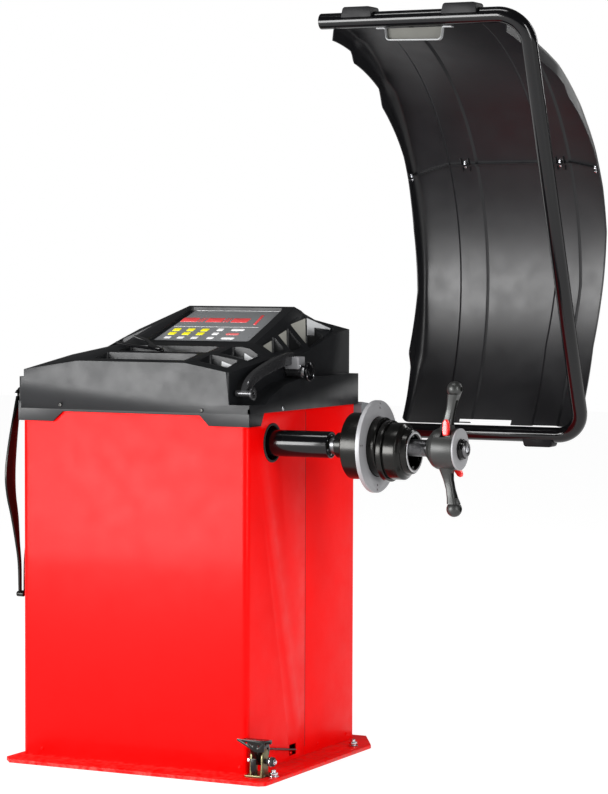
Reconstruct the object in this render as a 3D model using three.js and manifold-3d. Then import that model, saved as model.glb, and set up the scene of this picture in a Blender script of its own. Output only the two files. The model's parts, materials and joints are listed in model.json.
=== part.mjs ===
// Wheel balancer: a sheet-metal cabinet with a moulded tray top, a horizontal balancing spindle,
// a distance gauge, a foot brake, a hanging width caliper and a swing-over wheel hood.
// Millimetres, +X along the spindle towards the wheel, +Y to the back, +Z up.
// The origin is the middle of the cabinet's footprint, at floor level.
import * as THREE from 'three';
import { mergeVertices } from 'three/addons/utils/BufferGeometryUtils.js';
import Module from 'manifold-3d';

const wasm = await Module();
wasm.setup();

// ---- driving dimensions ----
const CABINET_W = 560;
const CABINET_D = 528;
const CABINET_R = 14;
const SHEET = 2;
const BASE_T = 8;
const CABINET_TOP = 782;
const SEAM_Y = 9;

const SPINDLE_Y = -151;
const SPINDLE_Z = 708;
const SHAFT_R = 15;
const THREAD_R = 18;
const HOUSING_R = 28.4;
const HOUSING_X0 = -130;
const HOUSING_X1 = 410;
const HUB_R = 70.5;
const HUB_X0 = 472;
const DISC_R = 97.5;
const DISC_X0 = 522;
const DISC_X1 = 531.5;
const BOSS_R = 63;
const BOSS_X1 = 549;
const CUP_X0 = 552;
const CUP_X1 = 615;
const CUP_DROP = 8.5;
const SHAFT_END_X = 735;

const PULLEY_R = 60;
const MOTOR_PULLEY_R = 20;
const MOTOR_Y = -20;
const MOTOR_Z = 470;

const NUT_X0 = 650;
const NUT_X1 = 719.5;
const NUT_R = 43;
const NUT_BORE_R = 22;
const NUT_LEVER_X = 697;
const HANDLE_REACH = 125;

const COVER_T = 4;
const COVER_X = 286;
const COVER_Y = 270;
const BAND_Z0 = 774;
const BAND_Z1 = 843;
const LIP_Z = 747;
const SHELF_Z = 793;

const GAUGE_Y = -24;
const GAUGE_Z = 857;
const GAUGE_ROD_R = 9;

const HOOD_AXLE_Y = 326;
const HOOD_AXLE_Z = 713;
const HOOD_TUBE_R = 17;
const HOOD_TOP_Y = -69;
const HOOD_TOP_Z = 1610;
const HOOD_LEFT_X = 354;
const HOOD_LOW_X = 807;
const HOOD_HIGH_X = 824;
const GUARD_Y = -144;
const GUARD_Z = 1046;
const GUARD_R = 575;
const GUARD_T = 3;
const GUARD_X0 = 372;
const GUARD_SEAM_DEG = 28.6;
const GUARD_LOW_DEG = -33.4;
const GUARD_TOP_DEG = 80.3;
// [degrees round the guard, value]: how far each lip stands in from the guard's outer face, and the
// right lip's X
const LEFT_LIP = [
  [-33.4, 20], [-28, 24], [-20.5, 34], [-17.5, 55], [-11, 46], [-2, 32], [13.5, 40], [33, 29], [49, 50],
  [53, 30],
  [68, 53], [70, 35], [80.3, 42],
];
const RIGHT_LIP = [[-33.4, 12], [-10, 12], [20, 14], [31.5, 18], [43, 34], [50, 42], [53, 34], [66, 42],
  [80.3, 38]];
const RIGHT_X = [[-33.4, 797], [-14, 801], [1, 818], [12, 829], [23, 831], [33, 829], [44, 823],
  [57, 810], [67, 786],
  [80.3, 776]];

const PEDAL_Y = -267;
const PEDAL_Z = 42;
const BRAKE_Y = -61;
const BRAKE_Z = 703;
const CABLE_R = 3.5;

const CALIPER_X = -311;
const CALIPER_Y = -214;
const CALIPER_Z = 800;

// ---- looks ----
const RED = [0xd8120c, 0.35, 0.1];
const MATT_BLACK = [0x3a3b3d, 0.75, 0.0];
const GUARD_BLACK = [0x26272a, 0.5, 0.0];
const GLOSS_BLACK = [0x101012, 0.25, 0.2];
const OXIDE = [0x1f1f1e, 0.3, 0.8];
const STEEL = [0xb9bbbd, 0.3, 1.0];
const DARK_STEEL = [0x55585b, 0.45, 0.9];
const CAST = [0x3b3c3b, 0.5, 0.7];
const ZINC = [0xc9ccd0, 0.35, 1.0];
const OLIVE = [0x6d6a44, 0.5, 0.6];
const GREY = [0x74787a, 0.5, 0.3];
const LEVER_RED = [0xe01b1b, 0.4, 0.0];
const RUBBER = [0x1a1a1a, 0.85, 0.0];
const BOARD = [0x1c5a34, 0.6, 0.0];

// ---- solids ----
function signedVolume(points, triangles) {
  let sum = 0;
  for (let i = 0; i < triangles.length; i += 3) {
    const [a, b, c] = [0, 1, 2].map((k) => new THREE.Vector3().fromArray(points, 3 * triangles[i + k]));
    sum += a.dot(b.cross(c));
  }
  return sum;
}

// One closed three.js geometry becomes a solid, with its faces turned outwards.
function solid(geometry) {
  const bare = geometry.clone();
  bare.deleteAttribute('normal');
  bare.deleteAttribute('uv');
  const merged = mergeVertices(bare, 1e-3);
  const points = Float32Array.from(merged.attributes.position.array);
  const index = merged.index.array;
  const kept = [];
  for (let i = 0; i < index.length; i += 3) {
    const [a, b, c] = [index[i], index[i + 1], index[i + 2]];
    if (a !== b && b !== c && c !== a) kept.push(a, b, c);
  }
  if (signedVolume(points, kept) < 0) kept.reverse();
  return new wasm.Manifold(new wasm.Mesh({
    numProp: 3,
    vertProperties: points,
    triVerts: Uint32Array.from(kept),
  }));
}

const union = (...parts) => parts.reduce((whole, part) => whole.add(part));
const cut = (whole, ...tools) => tools.reduce((rest, tool) => rest.subtract(tool), whole);

function largest(whole) {
  const pieces = whole.decompose();
  return pieces.reduce((best, piece) => (piece.volume() > best.volume() ? piece : best));
}

function box(x0, x1, y0, y1, z0, z1) {
  const geometry = new THREE.BoxGeometry(x1 - x0, y1 - y0, z1 - z0);
  return solid(geometry.translate((x0 + x1) / 2, (y0 + y1) / 2, (z0 + z1) / 2));
}

function extrude(points, length, basis, offset) {
  const shape = new THREE.Shape(points.map(([u, v]) => new THREE.Vector2(u, v)));
  const geometry = new THREE.ExtrudeGeometry(shape, { depth: length, bevelEnabled: false });
  const [u, v, w] = basis.map((axis) => new THREE.Vector3(...axis));
  return solid(geometry.applyMatrix4(new THREE.Matrix4().makeBasis(u, v, w).setPosition(...offset)));
}

// Prisms: the outline is drawn in the plane across the named axis.
const prismX = (yz, x0, x1) => extrude(yz, x1 - x0, [[0, 1, 0], [0, 0, 1], [1, 0, 0]], [x0, 0, 0]);
const prismY = (xz, y0, y1) => extrude(xz, y1 - y0, [[1, 0, 0], [0, 0, 1], [0, 1, 0]], [0, y0, 0]);
const prismZ = (xy, z0, z1) => extrude(xy, z1 - z0, [[1, 0, 0], [0, 1, 0], [0, 0, 1]], [0, 0, z0]);

// A turned piece about a line parallel to X. The profile holds [x, radius] pairs.
function turnX(profile, y, z, segments = 32) {
  const geometry = new THREE.LatheGeometry(profile.map(([x, r]) => new THREE.Vector2(r, x)), segments);
  const basis = new THREE.Matrix4().makeBasis(
    new THREE.Vector3(0, 1, 0),
    new THREE.Vector3(1, 0, 0),
    new THREE.Vector3(0, 0, 1),
  );
  return solid(geometry.applyMatrix4(basis.setPosition(0, y, z)));
}

function turnZ(profile, x, y, segments = 32) {
  const geometry = new THREE.LatheGeometry(profile.map(([z, r]) => new THREE.Vector2(r, z)), segments);
  return solid(geometry.rotateX(Math.PI / 2).translate(x, y, 0));
}

const rodX = (r, x0, x1, y, z, n = 32) => turnX([[x0, 0], [x0, r], [x1, r], [x1, 0]], y, z, n);
const ringX = (r0, r1, x0, x1, y, z, n = 32) => cut(rodX(r1, x0, x1, y, z, n),
  rodX(r0, x0 - 1, x1 + 1, y, z, n));
const rodZ = (r, z0, z1, x, y, n = 24) => turnZ([[z0, 0], [z0, r], [z1, r], [z1, 0]], x, y, n);

function roundedRectangle(halfW, halfD, radius, steps = 6) {
  const corners = [[1, 1, 0], [-1, 1, 90], [-1, -1, 180], [1, -1, 270]];
  return corners.flatMap(([sx, sy, start]) => Array.from({ length: steps + 1 }, (_, i) => {
    const angle = THREE.MathUtils.degToRad(start + (90 * i) / steps);
    const x = sx * (halfW - radius) + radius * Math.cos(angle);
    const y = sy * (halfD - radius) + radius * Math.sin(angle);
    return [x, y];
  }));
}

function arc(cy, cz, radius, fromDeg, toDeg, steps) {
  return Array.from({ length: steps + 1 }, (_, i) => {
    const angle = THREE.MathUtils.degToRad(fromDeg + ((toDeg - fromDeg) * i) / steps);
    return [cy + radius * Math.cos(angle), cz + radius * Math.sin(angle)];
  });
}

// A path of straight runs with round bends, sampled at the ends of its runs and along its bends.
class BentPath extends THREE.Curve {
  constructor(corners, radius, bendSteps = 8) {
    super();
    const knots = corners.map((corner) => new THREE.Vector3(...corner));
    this.samples = [knots[0]];
    for (let i = 1; i < knots.length - 1; i += 1) {
      const back = knots[i - 1].clone().sub(knots[i]).normalize();
      const ahead = knots[i + 1].clone().sub(knots[i]).normalize();
      const half = back.angleTo(ahead) / 2;
      const inset = radius / Math.tan(half);
      const middle = back.clone().add(ahead).normalize();
      const centre = knots[i].clone().addScaledVector(middle, radius / Math.sin(half));
      const start = knots[i].clone().addScaledVector(back, inset).sub(centre);
      const axis = start.clone().cross(knots[i].clone().addScaledVector(ahead,
        inset).sub(centre)).normalize();
      for (let s = 0; s <= bendSteps; s += 1) {
        const turn = ((Math.PI - 2 * half) * s) / bendSteps;
        this.samples.push(start.clone().applyAxisAngle(axis, turn).add(centre));
      }
    }
    this.samples.push(knots.at(-1));
  }

  getPointAt(u) {
    return this.samples[Math.round(u * (this.samples.length - 1))].clone();
  }

  getTangentAt(u) {
    const i = Math.round(u * (this.samples.length - 1));
    const before = this.samples[Math.max(i - 1, 0)];
    const after = this.samples[Math.min(i + 1, this.samples.length - 1)];
    return after.clone().sub(before).normalize();
  }
}

function tube(corners, radius, bend, sides = 20, bendSteps = 8) {
  const path = new BentPath(corners, bend, bendSteps);
  const section = new THREE.Shape().absarc(0, 0, radius, 0, 2 * Math.PI);
  const settings = { steps: path.samples.length - 1, curveSegments: sides / 2, extrudePath: path };
  return solid(new THREE.ExtrudeGeometry(section, settings));
}

// A skin through loops of [x, z] points, one loop for each station along Y.
function loftY(stations) {
  const count = stations[0].loop.length;
  const points = stations.flatMap(({ y, loop }) => loop.flatMap(([x, z]) => [x, y, z]));
  const index = [];
  for (let s = 0; s + 1 < stations.length; s += 1) {
    for (let i = 0; i < count; i += 1) {
      const a = s * count + i;
      const b = s * count + ((i + 1) % count);
      index.push(a, b, b + count, a, b + count, a + count);
    }
  }
  const cap = (loop) => THREE.ShapeUtils.triangulateShape(loop.map(([x, z]) => new THREE.Vector2(x, z)),
    []);
  cap(stations[0].loop).forEach(([a, b, c]) => index.push(a, c, b));
  const last = (stations.length - 1) * count;
  cap(stations.at(-1).loop).forEach(([a, b, c]) => index.push(a + last, b + last, c + last));
  const geometry = new THREE.BufferGeometry();
  geometry.setAttribute('position', new THREE.Float32BufferAttribute(points, 3));
  geometry.setIndex(index);
  return solid(geometry);
}

const machine = new THREE.Group();

function add(name, shape, [color, roughness, metalness]) {
  const { vertProperties, triVerts } = shape.getMesh();
  const geometry = new THREE.BufferGeometry();
  geometry.setAttribute('position', new THREE.BufferAttribute(Float32Array.from(vertProperties), 3));
  geometry.setIndex(Array.from(triVerts));
  geometry.computeVertexNormals();
  const mesh = new THREE.Mesh(geometry, new THREE.MeshStandardMaterial({ color, roughness, metalness }));
  mesh.name = name;
  machine.add(mesh);
}

const onSpindle = (profile, segments = 32) => turnX(profile, SPINDLE_Y, SPINDLE_Z, segments);

// ---- base, anchors and cabinet ----
const ANCHORS = { anchor_bolt_front: [338, -255], anchor_bolt_rear: [324, 164] };
const ANCHOR_HOLE_R = 7;

const baseOutline = [
  [-272, -332], [342, -332], [354, -320], [354, 196], [292, 302], [-280, 302], [-295, 287], [-295, -306],
];
const anchorHoles = Object.values(ANCHORS).map(([x, y]) => rodZ(ANCHOR_HOLE_R, -1, BASE_T + 1, x, y, 16));
add('base_plate', cut(prismZ(baseOutline, 0, BASE_T), ...anchorHoles), RED);

for (const [name, [x, y]] of Object.entries(ANCHORS)) {
  const shank = rodZ(6, 0.5, BASE_T + 4, x, y, 16);
  const washer = rodZ(12, BASE_T + 0.3, BASE_T + 2.8, x, y, 20);
  const head = rodZ(10, BASE_T + 2.5, BASE_T + 10, x, y, 6);
  const stud = rodZ(6, BASE_T + 9, BASE_T + 17, x, y, 16);
  add(name, union(shank, washer, head, stud), ZINC);
}

const sleeve = cut(
  prismZ(roundedRectangle(CABINET_W / 2, CABINET_D / 2, CABINET_R), BASE_T + 0.3, CABINET_TOP),
  prismZ(roundedRectangle(CABINET_W / 2 - SHEET, CABINET_D / 2 - SHEET, CABINET_R - SHEET), 0, 900),
);
const frontHalf = box(-300, 300, -300, SEAM_Y - 0.2, 0, 900);
const rearHalf = box(-300, 300, SEAM_Y + 0.2, 300, 0, 900);
const spindleHole = rodX(39, 270, 290, SPINDLE_Y, SPINDLE_Z, 40);
const rodSlot = box(270, 290, -66, -34, 18, 42);
const seamFlange = (y) => union(
  box(-278.5, -262, y - 1.2, y + 1.2, 20, 770),
  box(262, 278.5, y - 1.2, y + 1.2, 20, 770),
);
const frontShell = union(cut(sleeve.intersect(frontHalf), spindleHole, rodSlot), seamFlange(SEAM_Y - 1.6));
const inletHole = box(-190, -130, 255, 270, 90, 130);
const rearShell = union(cut(sleeve.intersect(rearHalf), inletHole), seamFlange(SEAM_Y + 1.6));
add('cabinet_front_shell', frontShell, RED);
add('cabinet_rear_shell', rearShell, RED);
const inletBlock = union(box(-188.5, -131.5, 246, 266, 91.5, 128.5), box(-194, -126, 264.3, 270, 86, 134));
add('mains_inlet', cut(inletBlock, box(-174, -146, 252, 275, 100, 120)), GLOSS_BLACK);

// ---- moulded top cover ----
// Each station holds the outline's height at the left rim, console left, console right and right rim.
const STATIONS = [
  { y: -268, xs: [-272, -135, 130, 237], zs: [859, 880, 880, 861] },
  { y: -76, xs: [-266, -112, 198, 246], zs: [886, 918, 918, 888] },
  { y: 47, xs: [-262, -96, 191, 253], zs: [893, 961, 961, 893] },
  { y: 138, xs: [-260, -82, 186, 257], zs: [918, 995, 995, 918] },
  { y: 214, xs: [-258, -84, 186, 261], zs: [938, 968, 968, 938] },
  { y: 268, xs: [-256, -84, 186, 264], zs: [943, 947, 947, 943] },
];
const DISPLAY = { y0: -66, y1: 130, slope: (995 - 918) / (138 + 76) };
const displayZ = (y) => 918 + DISPLAY.slope * (y + 76);

function coverHull(inset, floorZ) {
  const ends = STATIONS.length - 1;
  return loftY(STATIONS.map(({ y, xs, zs }, i) => {
    const [x0, x1, x2, x3] = xs;
    const [z0, z1, z2, z3] = zs.map((z) => z - inset);
    const shift = (i === 0 ? inset : 0) - (i === ends ? inset : 0);
    const loop = [[x0 + inset, floorZ], [x3 - inset, floorZ], [x3 - inset, z3], [x2, z2], [x1, z1],
      [x0 + inset, z0]];
    return { y: y + shift, loop };
  }));
}

const ARCH = [[46, BAND_Z1], [-28, 842], [-110, 829], [-161, 810], [-196, SHELF_Z]];
function coverBand(inset, drop) {
  const y = COVER_Y - inset;
  const shelf = SHELF_Z - inset;
  const arch = ARCH.map(([ay, az]) => [ay, az - inset]);
  const right = prismX([[-y, BAND_Z0 - drop], [y, BAND_Z0 - drop], [y, BAND_Z1 - inset], ...arch,
    [-y, shelf]],
    225, COVER_X - inset);
  return union(box(-COVER_X + inset, 226, -y, y, BAND_Z0 - drop, BAND_Z1 - inset), right);
}

const apronOutline = [
  [-COVER_X, 790], [-COVER_X, LIP_Z], [-198, LIP_Z], [-173, 769], [167, 769], [189, LIP_Z],
  [COVER_X, LIP_Z],
  [COVER_X, 790],
];
const sideLip = [[-COVER_Y, 780], [-COVER_Y, LIP_Z], [-216, LIP_Z], [-194, 780]];
const apron = union(
  prismY(apronOutline, -COVER_Y, -COVER_Y + COVER_T),
  prismX(sideLip, COVER_X - COVER_T, COVER_X),
  prismX(sideLip, -COVER_X, -COVER_X + COVER_T),
);

// Trays and pockets are open at the top: [x0, x1, y0, y1, floor height].
const POCKETS = {
  front_tray: [-112, 120, -246, -184, 846],
  rear_tray: [-94, 132, -170, -112, 858],
  left_tray: [-238, -150, -60, 96, 858],
  corner_pocket: [142, 214, -246, -196, 836],
  side_pocket: [150, 222, -180, -112, 842],
  small_cone_pocket: [204, 238, -92, -44, 868],
  middle_cone_pocket: [202, 242, -2, 48, 866],
  large_cone_pocket: [198, 246, 62, 152, 868],
};
const pocket = ([x0, x1, y0, y1, floor], grow) => box(x0 - grow, x1 + grow, y0 - grow, y1 + grow,
  floor - grow, 1040);
const pocketCuts = Object.values(POCKETS).map((size) => pocket(size, 0));
const pocketWalls = Object.values(POCKETS).map((size) => pocket(size, 3));
const displayOutline = [[-84, DISPLAY.y0], [177, DISPLAY.y0], [164, DISPLAY.y1], [-72, DISPLAY.y1]];
function displaySlab(outline, below, above) {
  const edge = (y, lift) => [y, displayZ(y) + lift];
  const band = [edge(-90, -below), edge(150, -below), edge(150, above), edge(-90, above)];
  return prismZ(outline, 850, 1060).intersect(prismX(band, -120, 220));
}
const displayWall = displaySlab([[-88, -70], [181, -70], [168, 134], [-76, 134]], 12, 0);

const gaugeHole = rodX(13, 200, 300, GAUGE_Y, GAUGE_Z);
const outerSkin = union(coverHull(0, 785), coverBand(0, 0), apron);
const hollow = union(coverHull(COVER_T, 700), coverBand(COVER_T, 60));
const cavity = cut(hollow, ...pocketWalls, displayWall);
const cover = cut(outerSkin, cavity, ...pocketCuts, displaySlab(displayOutline, 9, 40), gaugeHole);
add('top_cover', largest(cover), MATT_BLACK);

const panelOutline = [[-82.5, DISPLAY.y0 + 1], [175.5, DISPLAY.y0 + 1], [162.5, DISPLAY.y1 - 1],
  [-70.5, DISPLAY.y1 - 1]];
add('keypad_panel', displaySlab(panelOutline, 8.6, -5.6), GREY);

const screwY = (x, z) => {
  const turned = turnX([[0, 0], [0, 5], [2, 4], [2, 0]], 0, 0, 16);
  return turned.rotate([0, 0, -90]).translate([x, -COVER_Y - 0.3, z]);
};
add('cover_screw_left', screwY(-178, 783), OXIDE);
add('cover_screw_right', screwY(172, 780), OXIDE);
add('cover_screw_side', turnX([[COVER_X + 0.3, 0], [COVER_X + 0.3, 5], [COVER_X + 2.3, 4],
  [COVER_X + 2.3, 0]],
  -114, 780, 16), ZINC);

const boardChips = [[-40, 20, 22], [20, 24, 14], [80, 40, 10]].map(([x, w, h]) => box(x, x + w, 40, 80,
  874.5, 875 + h));
add('control_board', union(box(-56, 150, 14, 118, 873, 875), ...boardChips), BOARD);
add('power_unit', union(box(-250, -150, 110, 210, BASE_T + 0.3, 14), box(-240, -160, 120, 200, 13, 96)),
  DARK_STEEL);

// ---- spindle support ----
const pillar = union(
  box(70, 210, -215, -85, BASE_T + 0.3, 16),
  cut(box(100, 180, -190, -112, 15, 600), box(106, 174, -184, -118, 22, 592)),
  box(100, 180, -108, -98, 560, 676),
  box(100, 180, -120, -98, 560, 600),
);
const pillarWindow = box(90, 190, -176, -126, 60, 540);
add('support_pillar', cut(pillar, pillarWindow), DARK_STEEL);

const housingBar = onSpindle([[HOUSING_X0, 0], [HOUSING_X0, HOUSING_R], [HOUSING_X1, HOUSING_R],
  [HOUSING_X1, 0]], 32);
const housingBore = onSpindle([
  [-131, 0], [-131, 24.4], [-114, 24.4], [-114, 20], [394, 20], [394, 24.4], [HOUSING_X1 + 1, 24.4],
  [HOUSING_X1 + 1, 0],
]);
const foot = box(112, 168, -181, -121, 640, 690);
const endCap = ringX(16.2, HOUSING_R, HOUSING_X1, 421, SPINDLE_Y, SPINDLE_Z, 32);
add('spindle_housing', union(cut(union(housingBar, foot), housingBore), endCap), GLOSS_BLACK);
add('vertical_sensor', rodZ(12, 600.3, 639.7, 140, SPINDLE_Y, 20), STEEL);
const sensorSide = turnX([[0, 0], [0, 9], [12.4, 9], [12.4, 0]], 0, 0,
  20).rotate([0, 0, 90]).translate([140, -120.7, 664]);
add('horizontal_sensor', sensorSide, STEEL);
for (const [name, x0] of [['rear_bearing', -129.5], ['front_bearing', 394.5]]) {
  add(name, ringX(15.6, 24, x0, x0 + 15, SPINDLE_Y, SPINDLE_Z, 32), STEEL);
}

const sensorFork = cut(box(-150, -104, -158, -144, 737, 762), box(-146, -134, -160, -142, 730, 752));
add('phase_sensor', sensorFork, MATT_BLACK);

// ---- spindle and flange ----
const spindleProfile = [
  [-196, 0], [-196, SHAFT_R], [424, SHAFT_R], [424, 20], [437, 20], [437, 26], [438.5, 27],
  [HUB_X0 - 0.3, 27],
  [HUB_X0 - 0.3, SHAFT_R], [BOSS_X1 + 0.3, SHAFT_R], [BOSS_X1 + 0.3, THREAD_R], [SHAFT_END_X - 3, THREAD_R],
  [SHAFT_END_X, THREAD_R - 3], [SHAFT_END_X, 0],
];
add('main_shaft', onSpindle(spindleProfile, 32), DARK_STEEL);

const hubProfile = [
  [HUB_X0, SHAFT_R + 0.3], [HUB_X0, HUB_R - 4], [HUB_X0 + 4, HUB_R], [DISC_X0 - 0.3, HUB_R],
  [DISC_X0 - 0.3, BOSS_R],
  [BOSS_X1 - 4, BOSS_R], [BOSS_X1, BOSS_R - 4], [BOSS_X1, SHAFT_R + 0.3], [HUB_X0, SHAFT_R + 0.3],
];
add('flange_hub', onSpindle(hubProfile), OXIDE);

const discHoles = [0, 90, 180, 270].flatMap((turn) => [85, 92].map((reach) => {
  const angle = THREE.MathUtils.degToRad(turn + 86);
  const y = SPINDLE_Y + reach * Math.cos(angle);
  const z = SPINDLE_Z + reach * Math.sin(angle);
  return rodX(2.2, DISC_X0 - 1, DISC_X1 + 1, y, z, 10);
}));
add('flange_disc', cut(ringX(BOSS_R + 0.4, DISC_R, DISC_X0, DISC_X1, SPINDLE_Y, SPINDLE_Z, 48),
  ...discHoles), STEEL);

const pulleyProfile = [
  [-190, SHAFT_R + 0.3], [-190, PULLEY_R], [-150, PULLEY_R], [-150, PULLEY_R - 8], [-158, PULLEY_R - 8],
  [-158, 24], [-150, 24], [-150, SHAFT_R + 0.3], [-190, SHAFT_R + 0.3],
];
add('driven_pulley', onSpindle(pulleyProfile), DARK_STEEL);
add('encoder_disc', onSpindle([[-141, SHAFT_R + 0.3], [-141, 41], [-139, 41], [-139, SHAFT_R + 0.3],
  [-141, SHAFT_R + 0.3]]), STEEL);

// ---- centring cup: it hangs on the thread by its loose bore ----
const CUP_BORE_R = THREAD_R + CUP_DROP + 0.5;
const cupProfile = [
  [CUP_X0, CUP_BORE_R], [CUP_X0, 63], [553.5, 64.5], [564, 64.5], [565, 63.5], [565, 58], [567, 58],
  [567, 60], [594, 60],
  [598, 57], [601, 51], [604, 49], [611, 47], [CUP_X1, 43], [CUP_X1, 37], [576, 37], [576, CUP_BORE_R],
  [CUP_X0, CUP_BORE_R],
];
add('centring_cone', turnX(cupProfile, SPINDLE_Y, SPINDLE_Z - CUP_DROP, 36), OXIDE);

// ---- quick nut ----
add('nut_sleeve', ringX(THREAD_R + 0.6, NUT_BORE_R - 0.4, NUT_X0 - 4, 729, SPINDLE_Y, SPINDLE_Z, 32),
  OXIDE);
const nutProfile = [
  [NUT_X0, NUT_BORE_R], [NUT_X0, 25], [658, 36], [670, NUT_R], [NUT_X1 - 4.7, NUT_R],
  [NUT_X1 - 4.7, NUT_BORE_R],
  [NUT_X0, NUT_BORE_R],
];
const leverSlot = (up) => {
  const y = SPINDLE_Y - up * 26;
  const [z0, z1] = [SPINDLE_Z + up * 26, SPINDLE_Z + up * 60];
  return box(NUT_LEVER_X - 12, NUT_LEVER_X + 12, y - 8, y + 8, Math.min(z0, z1), Math.max(z0, z1));
};
add('nut_body', cut(onSpindle(nutProfile, 36), leverSlot(1), leverSlot(-1)), CAST);
add('nut_end_ring', ringX(NUT_BORE_R, NUT_R + 0.8, NUT_X1 - 4.4, NUT_X1, SPINDLE_Y, SPINDLE_Z, 36), STEEL);

// Each handle is a flat bar that leans outwards and ends in a ball.
function handle(up) {
  const root = SPINDLE_Z + up * (NUT_R + 1.5);
  const tip = SPINDLE_Z + up * HANDLE_REACH;
  const bar = [[676, root], [698, root], [714, tip], [696, tip]];
  const ball = solid(new THREE.SphereGeometry(16.5, 16, 10).translate(705, SPINDLE_Y, tip));
  return union(prismY(bar, SPINDLE_Y - 9, SPINDLE_Y + 9), ball);
}
add('nut_handle_upper', handle(1), CAST);
add('nut_handle_lower', handle(-1), CAST);

// Each release lever is a flat red tongue that tips on a pin across its slot. The lower one hangs open.
function lever(up, cant) {
  const outline = [[-6, -9], [6, -9], [7, 4], [5, 22], [0, 27], [-5, 22], [-7, 4]];
  const tongue = prismY(outline, -6, 6).rotate([0, cant, 0]);
  return tongue.rotate([up > 0 ? 0 : 180, 0, 0]).translate([NUT_LEVER_X, SPINDLE_Y - up * 26,
    SPINDLE_Z + up * 38]);
}
add('nut_lever_upper', lever(1, 0), LEVER_RED);
add('nut_lever_lower', lever(-1, 32), LEVER_RED);

// ---- belt drive ----
const motorBody = cut(
  union(
    turnX([[-130, 0], [-130, 42], [-124, 48], [24, 48], [30, 42], [30, 0]], MOTOR_Y, MOTOR_Z, 32),
    box(-100, 0, MOTOR_Y - 36, MOTOR_Y + 36, MOTOR_Z - 55, MOTOR_Z - 36),
  ),
  rodX(7.6, -131, -108, MOTOR_Y, MOTOR_Z, 24),
);
add('motor', motorBody, DARK_STEEL);
const motorShaft = rodX(7, -178, -110, MOTOR_Y, MOTOR_Z, 24);
add('motor_pulley', union(rodX(MOTOR_PULLEY_R, -175, -148, MOTOR_Y, MOTOR_Z, 32), motorShaft), DARK_STEEL);
const motorShelf = union(
  box(-206, 99.5, MOTOR_Y - 90, MOTOR_Y + 50, MOTOR_Z - 62, MOTOR_Z - 55.4),
  box(-206, -200, -78, -44, MOTOR_Z - 56, 718),
  rodX(5, -201, -172, BRAKE_Y, BRAKE_Z, 20),
);
add('motor_bracket', motorShelf, GREY);

function beltOutline(grow) {
  const reach = new THREE.Vector2(MOTOR_Y - SPINDLE_Y, MOTOR_Z - SPINDLE_Z);
  const heading = THREE.MathUtils.radToDeg(reach.angle());
  const spread = THREE.MathUtils.radToDeg(Math.acos((PULLEY_R - MOTOR_PULLEY_R) / reach.length()));
  const large = arc(SPINDLE_Y, SPINDLE_Z, PULLEY_R + grow, heading + spread, heading + 360 - spread, 28);
  const small = arc(MOTOR_Y, MOTOR_Z, MOTOR_PULLEY_R + grow, heading - spread, heading + spread, 12);
  return [...large, ...small];
}
add('drive_belt', cut(prismX(beltOutline(3.4), -168, -154), prismX(beltOutline(0.5), -169, -153)), RUBBER);

// ---- foot brake ----
const shoe = [
  ...arc(SPINDLE_Y, SPINDLE_Z, PULLEY_R + 3, -58, -30, 6),
  ...arc(SPINDLE_Y, SPINDLE_Z, PULLEY_R + 9, -30, -58, 6),
];
const brakeBar = [[-108, 657], [-104, 650], [-54, 694], [46, 694], [46, 706], [-54, 712], [-70, 710],
  [-80, 694]];
const brakeArm = union(prismX(brakeBar, -189, -175), prismX(shoe, -189, -175));
add('brake_arm', cut(brakeArm, rodX(5.6, -195, -170, BRAKE_Y, BRAKE_Z, 20)), DARK_STEEL);
const cableRoute = [[254, -50, 30], [200, 42, 30], [-182, 42, 30], [-182, 42, 688]];
add('brake_cable', tube(cableRoute, CABLE_R, 30, 10, 5), RUBBER);

const bracketEar = [[-284, BASE_T + 4], [-254, BASE_T + 4], [-252, 60], [-262, 70], [-280, 58]];
const pedalBracket = union(
  box(284, 325, -284, -228, BASE_T + 0.3, BASE_T + 4.3),
  prismX(bracketEar, 296, 300),
  prismX(bracketEar, 321, 325),
);
add('pedal_bracket', cut(pedalBracket, rodX(5.6, 290, 335, PEDAL_Y, PEDAL_Z, 20)), OLIVE);
add('pedal_pin', union(rodX(5, 292, 346, PEDAL_Y, PEDAL_Z, 20),
  rodX(10, 332, 346, PEDAL_Y, PEDAL_Z, 20)), RUBBER);

const treadHoles = [298, 318, 338].map((x) => rodZ(4, 80, 110, x, -306, 12));
const leverOutline = [
  [-276, 34], [-258, 34], [-236, 50], [-232, 64], [-238, 76], [-250, 76], [-280, 64], [-296, 91],
  [-311, 92],
  [-284, 52],
];
const rodEye = box(300, 330, -248.2, -239.8, 56, 67);
const pedalLever = prismX(leverOutline, 303, 318);
const tread = cut(prismX([[-324, 92], [-288, 89], [-288, 92.5], [-324, 95.5]], 287, 351), ...treadHoles);
add('brake_pedal', cut(union(pedalLever, tread), rodEye, rodX(5.6, 290, 335, PEDAL_Y, PEDAL_Z, 20)), OXIDE);
add('brake_rod', tube([[316, -244, 63], [289, -244, 63], [289, -50, 30], [262, -50, 30]], 2.6, 7, 10, 5),
  DARK_STEEL);

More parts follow.
